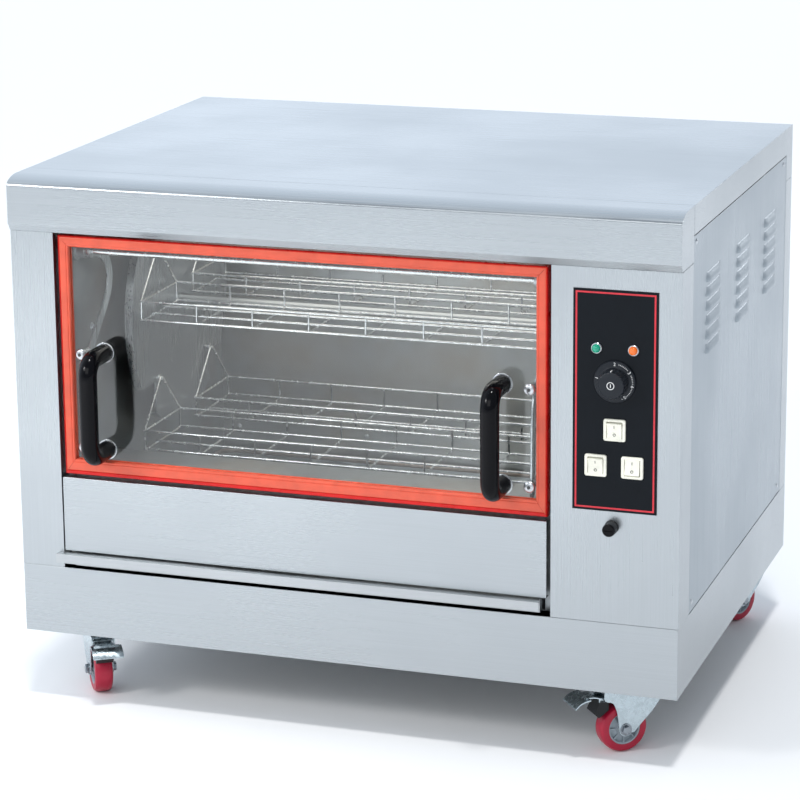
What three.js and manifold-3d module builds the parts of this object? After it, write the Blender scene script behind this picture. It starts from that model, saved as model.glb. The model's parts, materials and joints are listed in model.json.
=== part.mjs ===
// Glass-fronted electric rotisserie oven on four swivel casters.
//
// Millimetres. +Z up, +X to the oven's right as seen from the front, -Y towards the person using it.
// The dimensions below are measured from the centre of the width, the face of the front columns and
// the floor; the last lines slide the whole oven along Y so that its box is centred on the origin.

import * as THREE from "three";
import { mergeVertices } from "three/addons/utils/BufferGeometryUtils.js";
import Module from "manifold-3d";

const wasm = await Module();
wasm.setup();

// ---------------------------------------------------------------------------
// Driving dimensions
// ---------------------------------------------------------------------------

// Cabinet
const WIDTH = 1000;
const HALF = WIDTH / 2;
const DEPTH = 735;
const SHEET = 1.5; // every folded steel sheet
const GAP = 0.4; // between pieces that rest against each other
const PLINTH_BOTTOM = 108;
const PLINTH_TOP = 212;
const HOOD_BOTTOM = 720;
const TOP = 800;
const LID_FRONT = 65.5; // seam between the hood and the lid
const LID_SKIRT_BOTTOM = 758;
const LID_LEG_BOTTOM = 717;
const CORNER_WIDTH = 44; // rear posts and the lid's rear corner legs
const PLINTH_FLANGE = 12;
const COLUMN_RETURN = 64; // outer return of the front columns, back to the side panels
const COLUMN_INNER_RETURN = 20;
const LEFT_COLUMN_EDGE = -433; // inner edges of the two front columns
const RIGHT_COLUMN_EDGE = 316;

// Cavity, inner faces
const CAVITY_LEFT = -420;
const CAVITY_RIGHT = 302;
const CAVITY_FRONT = 22;
const CAVITY_BACK = 602;
const CAVITY_TOP = 775;
const CAVITY_FLANGE = 11;

// Door
const DOOR_LEFT = -427.5;
const DOOR_RIGHT = 310;
const DOOR_BOTTOM = 357;
const DOOR_TOP = 716;
const DOOR_MIDDLE = (DOOR_LEFT + DOOR_RIGHT) / 2;
const SEAL_FRONT = 3;
const SEAL_BACK = 20;
const SEAL_WIDTH = 16.5;
const SEAL_BOTTOM_WIDTH = 22.5;
const GLASS_FRONT = 10;
const GLASS_BACK = 15;
const GLASS_INSET = 4; // glass edge inside the seal
const HINGE_Y = 56; // of the shaft the door swings up about
const HINGE_Z = 684;
const DOOR_SHAFT_RADIUS = 5;
const ARM_OFFSET = 341; // from the middle of the door to each arm
const ARM_THICKNESS = 3;
const FIXING_HEIGHTS = [397, 538];
const HANDLE_OFFSET = 302;
const HANDLE_LOW = 398;
const HANDLE_HIGH = 544;
const HANDLE_REACH = 62; // from the glass to the middle of the grip
const HANDLE_RADIUS = 13.5;
const HANDLE_BEND = 20;

// Rotor
const ROTOR_Y = 350;
const ROTOR_Z = 546;
const ROTOR_RADIUS = 190;
const ROTOR_PLATE = 3;
const LEFT_PLATE_X = -385;
const RIGHT_PLATE_X = 259;
const PIN_OFFSET = 101; // basket pins, in front of and behind, above and below the shaft
const NOTCH_OFFSET = 107; // corner notches in the rotor plates, just outside the pins
const PIN_RADIUS = 3;
const PIN_OVERHANG = 6; // basket pins beyond the middle of the plates
const SHAFT_RADIUS = 9;
const BEARING_RADIUS = 17;
const RUNNING_GAP = 0.3;
const END_FLOAT = 0.7; // between a shaft's end and the wall behind it

// Baskets
const BASKET_LEFT = -376.5;
const BASKET_RIGHT = 250.5;
const BASKET_HALF_DEPTH = 69;
const BASKET_RAIL_DROP = 66; // top rails below the pins
const BASKET_FLOOR_DROP = 97;
const BASKET_BAYS = 7; // between uprights along the front
const BASKET_CROSS_BAYS = [0, 2, 5, 7]; // uprights that run on under the floor and up the back
const RAIL_WIRE = 4;
const CROSS_WIRE = 3;

// Drip tray
const TRAY_LEFT = -417;
const TRAY_RIGHT = 299;
const TRAY_BOTTOM = 214.6;
const TRAY_TOP = 236.6;
const TRAY_FRONT = 6;
const TRAY_BACK = 585;
const TRAY_RAIL_FRONT = -14;
const TRAY_RAIL_BOTTOM = 223;
const TRAY_RAIL_LEFT = -440;
const TRAY_RAIL_RIGHT = 303;

// Control plate and what it carries
const PLATE_LEFT = 347.5;
const PLATE_RIGHT = 467.5;
const PLATE_BOTTOM = 375.5;
const PLATE_TOP = 690;
const PLATE_THICKNESS = 1.2;
const PLATE_BACK = -0.3;
const PLATE_FRONT = PLATE_BACK - PLATE_THICKNESS;
const CONTROL_X = 407.5;
const KNOB = { x: CONTROL_X, z: 562 };
const KNOB_SKIRT_RADIUS = 29.5;
const KNOB_HEIGHT = 25;
const SPINDLE_RADIUS = 3;
const LIGHTS = { power: { x: 381, z: 607.5 }, heat: { x: 433, z: 607.5 } };
const LIGHT_RADIUS = 7;
const LIGHT_HOLE = 5.5;
const SWITCHES = {
  heat: { x: CONTROL_X, z: 493, tilt: 1 },
  turn: { x: 381, z: 441, tilt: 1 },
  lamp: { x: 433, z: 441, tilt: -1 },
};
const SWITCH_FRAME = { width: 32, height: 33, depth: 3 };
const SWITCH_BODY = { width: 27, height: 28, depth: 24 };
// A rocker's crown, dip, skirt and keel are depths from its pivot.
const ROCKER = { width: 21, height: 22, tilt: 7, crown: -8.5, dip: -6.5, skirt: 1, keel: 5 };
const FUSE = { x: 404, z: 353 };
const FUSE_BODY_RADIUS = 6;
const FUSE_CAP_RADIUS = 9.5;

// Casters
const WHEEL_RADIUS = 36;
const WHEEL_WIDTH = 28;
const CASTER_TRAIL = 26;
const AXLE_RADIUS = 4;
const FORK_GAP = 31;
const FORK_PLATE = 2.5;
const HEAD_RADIUS = 25;
const PAD_SIZE = 72;
const PAD_THICKNESS = 3;
const CASTERS = {
  front_left: { x: -423, y: 82, heading: -56, brake: true },
  front_right: { x: 423, y: 82, heading: -141, brake: true },
  rear_left: { x: -450, y: 685, heading: -100, brake: false },
  rear_right: { x: 450, y: 685, heading: -118, brake: false },
};

// Cable gland, behind the electrical compartment
const GLAND = { x: 400, z: 262, bore: 4, neck: 10, nut: 13, collar: 14, dome: 10, reach: 14 };
const GLAND_BACK = DEPTH - 1 + GLAND.reach;

// The box's front and back faces, for centring
const FOREMOST = GLASS_FRONT - HANDLE_REACH - HANDLE_RADIUS;
const CENTRE_Y = (FOREMOST + GLAND_BACK) / 2;

// ---------------------------------------------------------------------------
// Materials
// ---------------------------------------------------------------------------

const material = (color, roughness, metalness) =>
  new THREE.MeshStandardMaterial({ color, roughness, metalness });

const steel = () => material(0xb9c4cc, 0.32, 0.9);
const darkSteel = () => material(0x7f878c, 0.45, 0.85);
const zinc = () => material(0xc3ced2, 0.35, 0.9);
const wireSteel = () => material(0xd4d8da, 0.25, 0.95);
const blackPlastic = () => material(0x0c0c0e, 0.2, 0);
const creamPlastic = () => material(0xe9e4cf, 0.45, 0);
const greyPlastic = () => material(0x3a3d42, 0.5, 0);
const redRubber = () => material(0xe2452f, 0.55, 0);
const redTread = () => material(0xb8182e, 0.5, 0);
const clearGlass = () => material(0xdfe9ec, 0.05, 0);
const greenLens = () => material(0x1fa05a, 0.3, 0);
const orangeLens = () => material(0xe8642a, 0.3, 0);
const motorPaint = () => material(0x4a4f55, 0.6, 0.4);
const heaterSheath = () => material(0x55504a, 0.6, 0.7);

// ---------------------------------------------------------------------------
// Solids
// ---------------------------------------------------------------------------

/** A closed geometry as a solid that can be joined and cut. */
function toSolid(geometry) {
  const bare = geometry.clone();
  bare.deleteAttribute("normal");
  bare.deleteAttribute("uv");
  const merged = mergeVertices(bare, 1e-4);
  const index = merged.index.array;
  const triangles = [];
  for (let i = 0; i < index.length; i += 3) {
    const [a, b, c] = [index[i], index[i + 1], index[i + 2]];
    if (a !== b && b !== c && c !== a) triangles.push(a, b, c);
  }
  const vertProperties = new Float32Array(merged.attributes.position.array);
  const triVerts = new Uint32Array(triangles);
  return new wasm.Manifold(new wasm.Mesh({ numProp: 3, vertProperties, triVerts }));
}

/** A solid as a three.js geometry. */
function toGeometry(solid) {
  const mesh = solid.getMesh();
  const geometry = new THREE.BufferGeometry();
  geometry.setAttribute("position", new THREE.BufferAttribute(new Float32Array(mesh.vertProperties), 3));
  geometry.setIndex(new THREE.BufferAttribute(new Uint32Array(mesh.triVerts), 1));
  geometry.computeVertexNormals();
  return geometry;
}

const join = (first, ...others) => others.reduce((sum, solid) => sum.add(solid), first);
const cut = (first, ...others) => others.reduce((rest, solid) => rest.subtract(solid), first);

/** A box between two X, two Y and two Z values. */
function slab([x0, x1], [y0, y1], [z0, z1]) {
  const geometry = new THREE.BoxGeometry(x1 - x0, y1 - y0, z1 - z0);
  geometry.translate((x0 + x1) / 2, (y0 + y1) / 2, (z0 + z1) / 2);
  return toSolid(geometry);
}

/** A lathe profile of [radius, height] points turned about a line along X, Y or Z. */
function turned(profile, axis, [x, y, z], segments) {
  const points = profile.map(([radius, height]) => new THREE.Vector2(radius, height));
  const geometry = new THREE.LatheGeometry(points, segments);
  if (axis === "x") geometry.rotateZ(-Math.PI / 2);
  if (axis === "z") geometry.rotateX(Math.PI / 2);
  geometry.translate(x, y, z);
  return toSolid(geometry);
}

/** A round bar along X, Y or Z from one value to another, about a line through the given point. */
function bar(axis, radius, [from, to], [x, y, z], segments = 12) {
  const profile = [[0, from], [radius, from], [radius, to], [0, to]];
  return turned(profile, axis, [x, y, z], segments);
}

/** An outline of [y, z] points extruded along X. */
function alongX(outline, [x0, x1], holes = []) {
  const shape = new THREE.Shape(outline.map(([y, z]) => new THREE.Vector2(y, z)));
  holes.forEach((hole) => shape.holes.push(new THREE.Path(hole.map(([y, z]) => new THREE.Vector2(y, z)))));
  const geometry = new THREE.ExtrudeGeometry(shape, { depth: x1 - x0, bevelEnabled: false });
  const axes = new THREE.Matrix4().makeBasis(
    new THREE.Vector3(0, 1, 0), new THREE.Vector3(0, 0, 1), new THREE.Vector3(1, 0, 0));
  geometry.applyMatrix4(axes);
  geometry.translate(x0, 0, 0);
  return toSolid(geometry);
}

/** Points of a circular arc, angles in degrees. */
function arc([cy, cz], [ry, rz], [start, end], steps) {
  return Array.from({ length: steps + 1 }, (_, i) => {
    const angle = THREE.MathUtils.degToRad(start + ((end - start) * i) / steps);
    return [cy + ry * Math.cos(angle), cz + rz * Math.sin(angle)];
  });
}

/** The outline of a strip of even width that follows a line of [y, z] points. */
function strip(line, width) {
  const points = line.map(([y, z]) => new THREE.Vector2(y, z));
  const directions = points.slice(1).map((point, i) => point.clone().sub(points[i]).normalize());
  const offsets = points.map((_, i) => {
    const before = directions[Math.max(i - 1, 0)];
    const after = directions[Math.min(i, directions.length - 1)];
    const along = before.clone().add(after).normalize();
    const stretch = 1 / Math.max(along.dot(after), 0.3);
    return new THREE.Vector2(-along.y, along.x).multiplyScalar((width / 2) * stretch);
  });
  const left = points.map((point, i) => point.clone().add(offsets[i]));
  const right = points.map((point, i) => point.clone().sub(offsets[i]));
  return [...left, ...right.reverse()].map(({ x, y }) => [x, y]);
}

/** A line through points, with one extrusion step from each point to the next. */
class PointPath extends THREE.Curve {
  constructor(points) {
    super();
    this.points = points;
  }

  getPointAt(t) {
    return this.points[Math.round(t * (this.points.length - 1))].clone();
  }

  getSpacedPoints() {
    return this.points.map((point) => point.clone());
  }

  getTangentAt(t) {
    const i = Math.round(t * (this.points.length - 1));
    const before = this.points[Math.max(i - 1, 0)];
    const here = this.points[i];
    const after = this.points[Math.min(i + 1, this.points.length - 1)];
    const arriving = here.clone().sub(before).normalize();
    const leaving = after.clone().sub(here).normalize();
    return arriving.add(leaving).normalize();
  }
}

/** The points of a bent rod: straight runs between corners, each corner rounded in even steps. */
function rounded(corners, radius, steps = 4) {
  const points = [corners[0]];
  corners.slice(1, -1).forEach((corner, i) => {
    const entry = corner.clone().add(corners[i].clone().sub(corner).setLength(radius));
    const exit = corner.clone().add(corners[i + 2].clone().sub(corner).setLength(radius));
    const centre = entry.clone().add(exit).sub(corner);
    for (let step = 0; step <= steps; step += 1) {
      const angle = (Math.PI / 2) * (step / steps);
      const point = centre.clone();
      point.addScaledVector(entry.clone().sub(centre), Math.cos(angle));
      point.addScaledVector(exit.clone().sub(centre), Math.sin(angle));
      points.push(point);
    }
  });
  return [...points, corners[corners.length - 1]];
}

/** A tube of round section through points. */
function tube(points, radius, sides) {
  const section = new THREE.Shape();
  for (let i = 0; i < sides; i += 1) {
    const angle = (2 * Math.PI * i) / sides;
    const [x, y] = [radius * Math.cos(angle), radius * Math.sin(angle)];
    if (i === 0) section.moveTo(x, y);
    else section.lineTo(x, y);
  }
  section.closePath();
  const extrudePath = new PointPath(points);
  const steps = points.length - 1;
  return toSolid(new THREE.ExtrudeGeometry(section, { steps, bevelEnabled: false, extrudePath }));
}

/** A straight square wire between two points. */
function wire(from, to, width) {
  const [a, b] = [new THREE.Vector3(...from), new THREE.Vector3(...to)];
  const geometry = new THREE.BoxGeometry(width, width, a.distanceTo(b));
  const holder = new THREE.Object3D();
  holder.position.copy(a).add(b).multiplyScalar(0.5);
  holder.lookAt(b);
  holder.updateMatrix();
  geometry.applyMatrix4(holder.matrix);
  return toSolid(geometry);
}

const oven = new THREE.Group();

/** Add a solid to the oven, or to a group of it, as a named piece. */
function piece(name, solid, finish, parent = oven) {
  const mesh = new THREE.Mesh(toGeometry(solid), finish);
  mesh.name = name;
  parent.add(mesh);
}

// ---------------------------------------------------------------------------
// Cabinet
// ---------------------------------------------------------------------------

const PAN_BOTTOM = PLINTH_BOTTOM + SHEET + GAP;
const SIDES = { left: -1, right: 1 };

/** A box on one side of the oven, given by its distances from the middle plane. */
function sideSlab(side, [near, far], ys, zs) {
  const xs = side < 0 ? [-far, -near] : [near, far];
  return slab(xs, ys, zs);
}

function plinth() {
  const outer = slab([-HALF, HALF], [0, DEPTH], [PLINTH_BOTTOM, PLINTH_TOP]);
  const inside = slab(
    [-HALF + SHEET, HALF - SHEET], [SHEET, DEPTH - SHEET], [PLINTH_BOTTOM + SHEET, PLINTH_TOP + 1]);
  const underside = slab(
    [-HALF + PLINTH_FLANGE, HALF - PLINTH_FLANGE], [PLINTH_FLANGE, DEPTH - PLINTH_FLANGE],
    [PLINTH_BOTTOM - 1, PLINTH_TOP + 1]);
  piece("plinth_frame", cut(outer, inside, underside), steel());
}

function basePan() {
  const clear = SHEET + GAP;
  const pan = slab([-HALF + clear, HALF - clear], [clear, DEPTH - clear], [PAN_BOTTOM, PAN_BOTTOM + SHEET]);
  const pads = Object.values(CASTERS).map(({ x, y }) => slab(
    [x - PAD_SIZE / 2, x + PAD_SIZE / 2], [y - PAD_SIZE / 2, y + PAD_SIZE / 2],
    [PAN_BOTTOM - PAD_THICKNESS, PAN_BOTTOM + SHEET / 2]));
  piece("base_pan", join(pan, ...pads), darkSteel());
}

/** Openings that the controls pass through, in the fascia and in the control plate. */
function controlOpenings(ys) {
  const middle = (ys[0] + ys[1]) / 2;
  const reach = (ys[1] - ys[0]) / 2;
  const round = ({ x, z }, radius) => bar("y", radius + RUNNING_GAP, [-reach, reach], [x, middle, z]);
  const square = ({ x, z }) => slab(
    [x - SWITCH_BODY.width / 2 - RUNNING_GAP, x + SWITCH_BODY.width / 2 + RUNNING_GAP], ys,
    [z - SWITCH_BODY.height / 2 - RUNNING_GAP, z + SWITCH_BODY.height / 2 + RUNNING_GAP]);
  return [
    round(KNOB, SPINDLE_RADIUS + 1),
    round(LIGHTS.power, LIGHT_HOLE),
    round(LIGHTS.heat, LIGHT_HOLE),
    ...Object.values(SWITCHES).map(square),
  ];
}

function frontColumns() {
  const heights = [PLINTH_TOP + GAP, HOOD_BOTTOM - GAP];
  const column = (outer, inner) => {
    const side = Math.sign(outer);
    const xs = side < 0 ? [outer, inner] : [inner, outer];
    const innerReturn = side < 0 ? [inner - SHEET, inner] : [inner, inner + SHEET];
    return join(
      slab(xs, [0, SHEET], heights),
      sideSlab(side, [HALF - SHEET, HALF], [0, COLUMN_RETURN], heights),
      slab(innerReturn, [0, COLUMN_INNER_RETURN], heights));
  };
  piece("left_front_column", column(-HALF, LEFT_COLUMN_EDGE), steel());
  const fascia = cut(
    column(HALF, RIGHT_COLUMN_EDGE),
    ...controlOpenings([-1, SHEET + 1]),
    bar("y", FUSE_BODY_RADIUS + RUNNING_GAP, [-1, SHEET + 1], [FUSE.x, 0, FUSE.z]));
  piece("right_front_column", fascia, steel());
}

const PANEL_OUTSIDE = HALF - 1; // the side panels sit just inside the lid's skirts
const PANEL_HEIGHTS = [PLINTH_TOP + GAP, LID_SKIRT_BOTTOM - GAP];
const LOUVRE_LENGTH = 86;
const LOUVRE_HEIGHT = 14;
const LOUVRE_REACH = 5;
const LOUVRE_SKIN = 1;
const LOUVRE_COLUMNS = [187, 383, 574];
const LOUVRE_ROWS = 6;
const LOUVRE_TOP = 689;
const LOUVRE_PITCH = 20.6;

/** One pressed louvre on a side panel, as the hood to add and the pocket to cut. */
function louvre(side, middle, top) {
  const bottom = top - LOUVRE_HEIGHT;
  const wedge = ([x0, x1], [z0, z1], length) => {
    const corners = [[x0, z1], [x1, z0], [x0, z0]];
    const shape = new THREE.Shape(corners.map(([x, z]) => new THREE.Vector2(side * x, z)));
    const geometry = new THREE.ExtrudeGeometry(shape, { depth: length, bevelEnabled: false });
    geometry.rotateX(Math.PI / 2);
    geometry.translate(0, middle + length / 2, 0);
    return toSolid(geometry);
  };
  const outside = PANEL_OUTSIDE + LOUVRE_REACH;
  return {
    hood: wedge([PANEL_OUTSIDE - SHEET / 2, outside], [bottom, top], LOUVRE_LENGTH),
    pocket: wedge(
      [PANEL_OUTSIDE - 2 * SHEET, outside - LOUVRE_SKIN], [bottom - 1, top - 2 * LOUVRE_SKIN],
      LOUVRE_LENGTH - 2 * LOUVRE_SKIN),
  };
}

function sidePanels() {
  Object.entries(SIDES).forEach(([name, side]) => {
    const xs = [PANEL_OUTSIDE - SHEET, PANEL_OUTSIDE];
    const panel = sideSlab(side, xs, [LID_FRONT + GAP, DEPTH - CORNER_WIDTH - GAP], PANEL_HEIGHTS);
    const louvres = LOUVRE_COLUMNS.flatMap((middle) => Array.from(
      { length: LOUVRE_ROWS }, (_, row) => louvre(side, middle, LOUVRE_TOP - row * LOUVRE_PITCH)));
    const pressed = join(panel, ...louvres.map(({ hood }) => hood));
    piece(`${name}_side_panel`, cut(pressed, ...louvres.map(({ pocket }) => pocket)), steel());
  });
}

const REAR_FACE = DEPTH - 1;
const VENT = { left: 320, right: 410, height: 5, pitch: 16, top: 600, rows: 6 };

function rearPanel() {
  const edge = HALF - CORNER_WIDTH - GAP;
  const panel = slab([-edge, edge], [REAR_FACE - SHEET, REAR_FACE], PANEL_HEIGHTS);
  const through = [REAR_FACE - 2 * SHEET, REAR_FACE + SHEET];
  const vents = Array.from({ length: VENT.rows }, (_, row) => {
    const top = VENT.top - row * VENT.pitch;
    return slab([VENT.left, VENT.right], through, [top - VENT.height, top]);
  });
  const cableHole = bar("y", GLAND.neck + GAP, [-2 * SHEET, SHEET], [GLAND.x, REAR_FACE, GLAND.z]);
  piece("rear_panel", cut(panel, ...vents, cableHole), steel());
}

/** An L of side and rear sheet at one rear corner, between two heights. */
function rearCorner(side, heights) {
  return join(
    sideSlab(side, [HALF - SHEET, HALF], [DEPTH - CORNER_WIDTH, DEPTH], heights),
    sideSlab(side, [HALF - CORNER_WIDTH, HALF], [DEPTH - SHEET, DEPTH], heights));
}

function rearPosts() {
  Object.entries(SIDES).forEach(([name, side]) => {
    piece(`${name}_rear_post`, rearCorner(side, [PLINTH_TOP + GAP, LID_LEG_BOTTOM - GAP]), steel());
  });
}

function lid() {
  const ys = [LID_FRONT, DEPTH];
  const skirt = [LID_SKIRT_BOTTOM, TOP];
  const sides = Object.values(SIDES).flatMap((side) => [
    sideSlab(side, [HALF - SHEET, HALF], ys, skirt),
    rearCorner(side, [LID_LEG_BOTTOM, LID_SKIRT_BOTTOM + 1]),
  ]);
  const top = slab([-HALF, HALF], ys, [TOP - SHEET, TOP]);
  const back = slab([-HALF, HALF], [DEPTH - SHEET, DEPTH], skirt);
  piece("lid", join(top, back, ...sides), steel());
}

const HOOD_FACE = -8; // the hood stands proud of the columns
const HOOD_BACK = LID_FRONT - GAP;
const HOOD_CHAMFER = 11;
const HOOD_ROLL = { depth: 37, height: 14 };

/** The hood's profile, drawn in from its outer surface by an inset and run on past its open sides. */
function hoodProfile(inset, overrun) {
  const centre = [HOOD_FACE + HOOD_ROLL.depth, TOP - HOOD_ROLL.height];
  const radii = [HOOD_ROLL.depth - inset, HOOD_ROLL.height - inset];
  return [
    [HOOD_BACK + overrun, HOOD_BOTTOM - overrun],
    [HOOD_BACK + overrun, TOP - inset],
    ...arc(centre, radii, [90, 180], 7),
    [HOOD_FACE + inset, HOOD_BOTTOM + HOOD_CHAMFER],
    [-1 + inset, HOOD_BOTTOM],
    ...(overrun > 0 ? [[-1 + inset, HOOD_BOTTOM - overrun]] : []),
  ];
}

function hood() {
  const block = alongX(hoodProfile(0, 0), [-HALF, HALF]);
  const hollow = alongX(hoodProfile(SHEET, 2), [-HALF + SHEET, HALF - SHEET]);
  piece("hood", cut(block, hollow), steel());
}

const APRON = { left: -431, right: 310, bottom: 239, top: 352 };

function apron() {
  const xs = [APRON.left, APRON.right];
  const [topReturn, bottomReturn] = [20, 12];
  const solid = join(
    slab(xs, [0, SHEET], [APRON.bottom, APRON.top]),
    slab(xs, [0, topReturn], [APRON.top - SHEET, APRON.top]),
    slab(xs, [0, bottomReturn], [APRON.bottom, APRON.bottom + SHEET]));
  piece("apron_panel", solid, steel());
}

/** A hollow plastic gland, clamped through the rear panel by its nut and collar. */
function cableGland() {
  const { bore, neck, nut, collar, dome, reach } = GLAND;
  const [nutBack, nutFront] = [-16, -SHEET - GAP];
  const profile = [
    [bore, nutBack], [nut, nutBack], [nut, nutFront], [neck, nutFront], [neck, GAP], [collar, GAP],
    [collar, reach / 2], [dome, reach], [bore, reach], [bore, nutBack],
  ];
  piece("cable_gland", turned(profile, "y", [GLAND.x, REAR_FACE, GLAND.z], 12), blackPlastic());
}

// ---------------------------------------------------------------------------
// Cavity
// ---------------------------------------------------------------------------

const WALL_BOTTOM = PLINTH_TOP + GAP;
/** What the walls leave open for the door's top strip as it swings in, from the foot on their front edge. */
const DOOR_RELIEF = { foot: 690, shoulder: 44, back: 80, bottom: DOOR_TOP + 0.5 };
const BUSH_LENGTH = 15;
const BUSH_RADIUS = 11; // of the door shaft's bushes and of the arms' hubs on it
const RUNNER_WIDTH = 16; // the drip tray slides on these

/** A ring round the door shaft or the rotor shaft, on the inner face of a cavity wall. */
function wallRing(face, inward, outerRadius, innerRadius, [y, z]) {
  const span = [0, inward * BUSH_LENGTH].sort((a, b) => a - b);
  const ring = bar("x", outerRadius, span, [face, y, z]);
  const hole = [inward * RUNNING_GAP, inward * (BUSH_LENGTH + 1)].sort((a, b) => a - b);
  return cut(ring, bar("x", innerRadius, hole, [face, y, z]));
}

function cavityWall(name, face, inward, shaftPasses) {
  const across = (near, far) => [face + inward * near, face + inward * far].sort((a, b) => a - b);
  const wall = slab(across(-SHEET, 0), [CAVITY_FRONT, CAVITY_BACK], [WALL_BOTTOM, CAVITY_TOP]);
  const { foot, shoulder, back, bottom } = DOOR_RELIEF;
  const [front, top] = [CAVITY_FRONT - 1, CAVITY_TOP + 1];
  const outline = [[front, foot], [shoulder, bottom], [back, bottom], [back, top], [front, top]];
  const relief = alongX(outline, across(-CAVITY_FLANGE - 1, 1));
  const flange = slab(
    across(-CAVITY_FLANGE, 0), [CAVITY_FRONT, CAVITY_FRONT + SHEET], [WALL_BOTTOM, bottom]);
  const runner = slab(
    across(-SHEET, RUNNER_WIDTH), [CAVITY_FRONT, CAVITY_BACK], [WALL_BOTTOM, WALL_BOTTOM + SHEET]);
  const bush = wallRing(
    face, inward, BUSH_RADIUS, DOOR_SHAFT_RADIUS + RUNNING_GAP, [HINGE_Y, HINGE_Z]);
  const bearing = wallRing(
    face, inward, BEARING_RADIUS, SHAFT_RADIUS + RUNNING_GAP, [ROTOR_Y, ROTOR_Z]);
  const solid = join(cut(join(wall, flange), relief), runner, bush, bearing);
  const passage = bar("x", SHAFT_RADIUS + RUNNING_GAP, [-2 * SHEET, 2 * SHEET], [face, ROTOR_Y, ROTOR_Z]);
  piece(name, shaftPasses ? cut(solid, passage) : solid, darkSteel());
}

function cavity() {
  cavityWall("cavity_left_wall", CAVITY_LEFT, 1, false);
  cavityWall("cavity_right_wall", CAVITY_RIGHT, -1, true);
  const xs = [CAVITY_LEFT - SHEET, CAVITY_RIGHT + SHEET];
  const backFace = CAVITY_BACK + GAP;
  piece("cavity_back", slab(xs, [backFace, backFace + SHEET], [WALL_BOTTOM, CAVITY_TOP]), steel());
  const roofFace = CAVITY_TOP + GAP;
  piece("cavity_roof", slab(xs, [CAVITY_FRONT, backFace + SHEET], [roofFace, roofFace + SHEET]), steel());
}

/** A folded ledge across the bottom of the doorway: an upright front, a sloping top, a short back lip. */
function sill() {
  const front = CAVITY_FRONT + 2 * SHEET;
  const [back, bottom, top, slope, lip] = [110, 300, 374, 5, 19];
  const line = [[front, bottom], [front, top], [back, top - slope], [back, top - slope - lip]];
  const solid = alongX(strip(line, SHEET), [CAVITY_LEFT + GAP, CAVITY_RIGHT - GAP]);
  piece("front_sill", solid, steel());
}

const HEATER_RADIUS = 4;
const HEATER_BEND = 30;
const HEATER_TURN = CAVITY_LEFT + 40; // how far the hairpins reach to the left

/** A hairpin tubular heater, both ends at the right wall. */
function heater(name, [nearY, farY], z) {
  const end = CAVITY_RIGHT - GAP;
  const corners = [[end, nearY], [HEATER_TURN, nearY], [HEATER_TURN, farY], [end, farY]];
  const points = rounded(corners.map(([x, y]) => new THREE.Vector3(x, y, z)), HEATER_BEND);
  piece(name, tube(points, HEATER_RADIUS, 8), heaterSheath());
}

const LAMP = { y: 150, z: 690, flange: 24, rim: 5, body: 19, shoulder: 18, tip: 10, length: 27 };

/** A domed glass lens with a flange, on the right wall. */
function lamp() {
  const { flange, rim, body, shoulder, tip, length } = LAMP;
  const lens = [
    [0, -length], [tip, -length + 2], [body - 2, -shoulder], [body, -rim - 1], [flange, -rim], [flange, 0],
    [0, 0],
  ];
  piece("oven_lamp", turned(lens, "x", [CAVITY_RIGHT - GAP, LAMP.y, LAMP.z], 14), clearGlass());
}

const GEARBOX = { length: 36, halfDepth: 45, halfHeight: 46 };
const MOTOR = { radius: 32, length: 71 };
const SHAFT_IN_GEARBOX = 28;

/** The rotor's gearbox, socketed for the shaft, with its motor behind it. */
function gearMotor() {
  const face = CAVITY_RIGHT + SHEET + GAP;
  const { length, halfDepth, halfHeight } = GEARBOX;
  const gearbox = slab(
    [face, face + length], [ROTOR_Y - halfDepth, ROTOR_Y + halfDepth],
    [ROTOR_Z - halfHeight, ROTOR_Z + halfHeight]);
  const motor = bar("x", MOTOR.radius, [length - 1, length + MOTOR.length], [face, ROTOR_Y, ROTOR_Z], 20);
  const depth = SHAFT_IN_GEARBOX + RUNNING_GAP;
  const socket = bar("x", SHAFT_RADIUS + RUNNING_GAP, [-1, depth], [face, ROTOR_Y, ROTOR_Z]);
  piece("gear_motor", cut(join(gearbox, motor), socket), motorPaint());
}

// ---------------------------------------------------------------------------
// Controls
// ---------------------------------------------------------------------------

function controlPlate() {
  const plate = slab([PLATE_LEFT, PLATE_RIGHT], [PLATE_FRONT, PLATE_BACK], [PLATE_BOTTOM, PLATE_TOP]);
  piece("control_plate", cut(plate, ...controlOpenings([PLATE_FRONT - 1, PLATE_BACK + 1])), blackPlastic());
}

const LIGHT_BODY_LENGTH = 16;
const LENS_RIM = 2.5;
const LENS_HEIGHT = 7.4;

/** A domed pilot light with its body through the plate. */
function pilotLight(name, { x, z }, finish) {
  const face = PLATE_FRONT - RUNNING_GAP;
  const profile = [
    [0, -LENS_HEIGHT], [0.75 * LIGHT_RADIUS, 0.8 * -LENS_HEIGHT], [LIGHT_RADIUS, -LENS_RIM],
    [LIGHT_RADIUS, 0], [LIGHT_HOLE, 0], [LIGHT_HOLE, LIGHT_BODY_LENGTH], [0, LIGHT_BODY_LENGTH],
  ];
  piece(name, turned(profile, "y", [x, face, z], 12), finish);
}

const THERMOSTAT = { width: 52, height: 40, front: 4, back: 36, spindle: 14 };

/** The thermostat behind the fascia, with its spindle through the plate. */
function thermostat() {
  const { width, height, front, back } = THERMOSTAT;
  const body = slab(
    [KNOB.x - width / 2, KNOB.x + width / 2], [front, back], [KNOB.z - height / 2, KNOB.z + height / 2]);
  const spindle = bar("y", SPINDLE_RADIUS, [-THERMOSTAT.spindle, front + 1], [KNOB.x, 0, KNOB.z]);
  piece("thermostat", join(body, spindle), greyPlastic());
}

const KNOB_FACE = PLATE_FRONT - 1; // the skirt's back, clear of the plate
const KNOB_GRIP_RADIUS = 20;
const KNOB_EDGE = 1.5;
const POINTER_WIDTH = 3;
const POINTER_REACH = 2.5;

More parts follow.
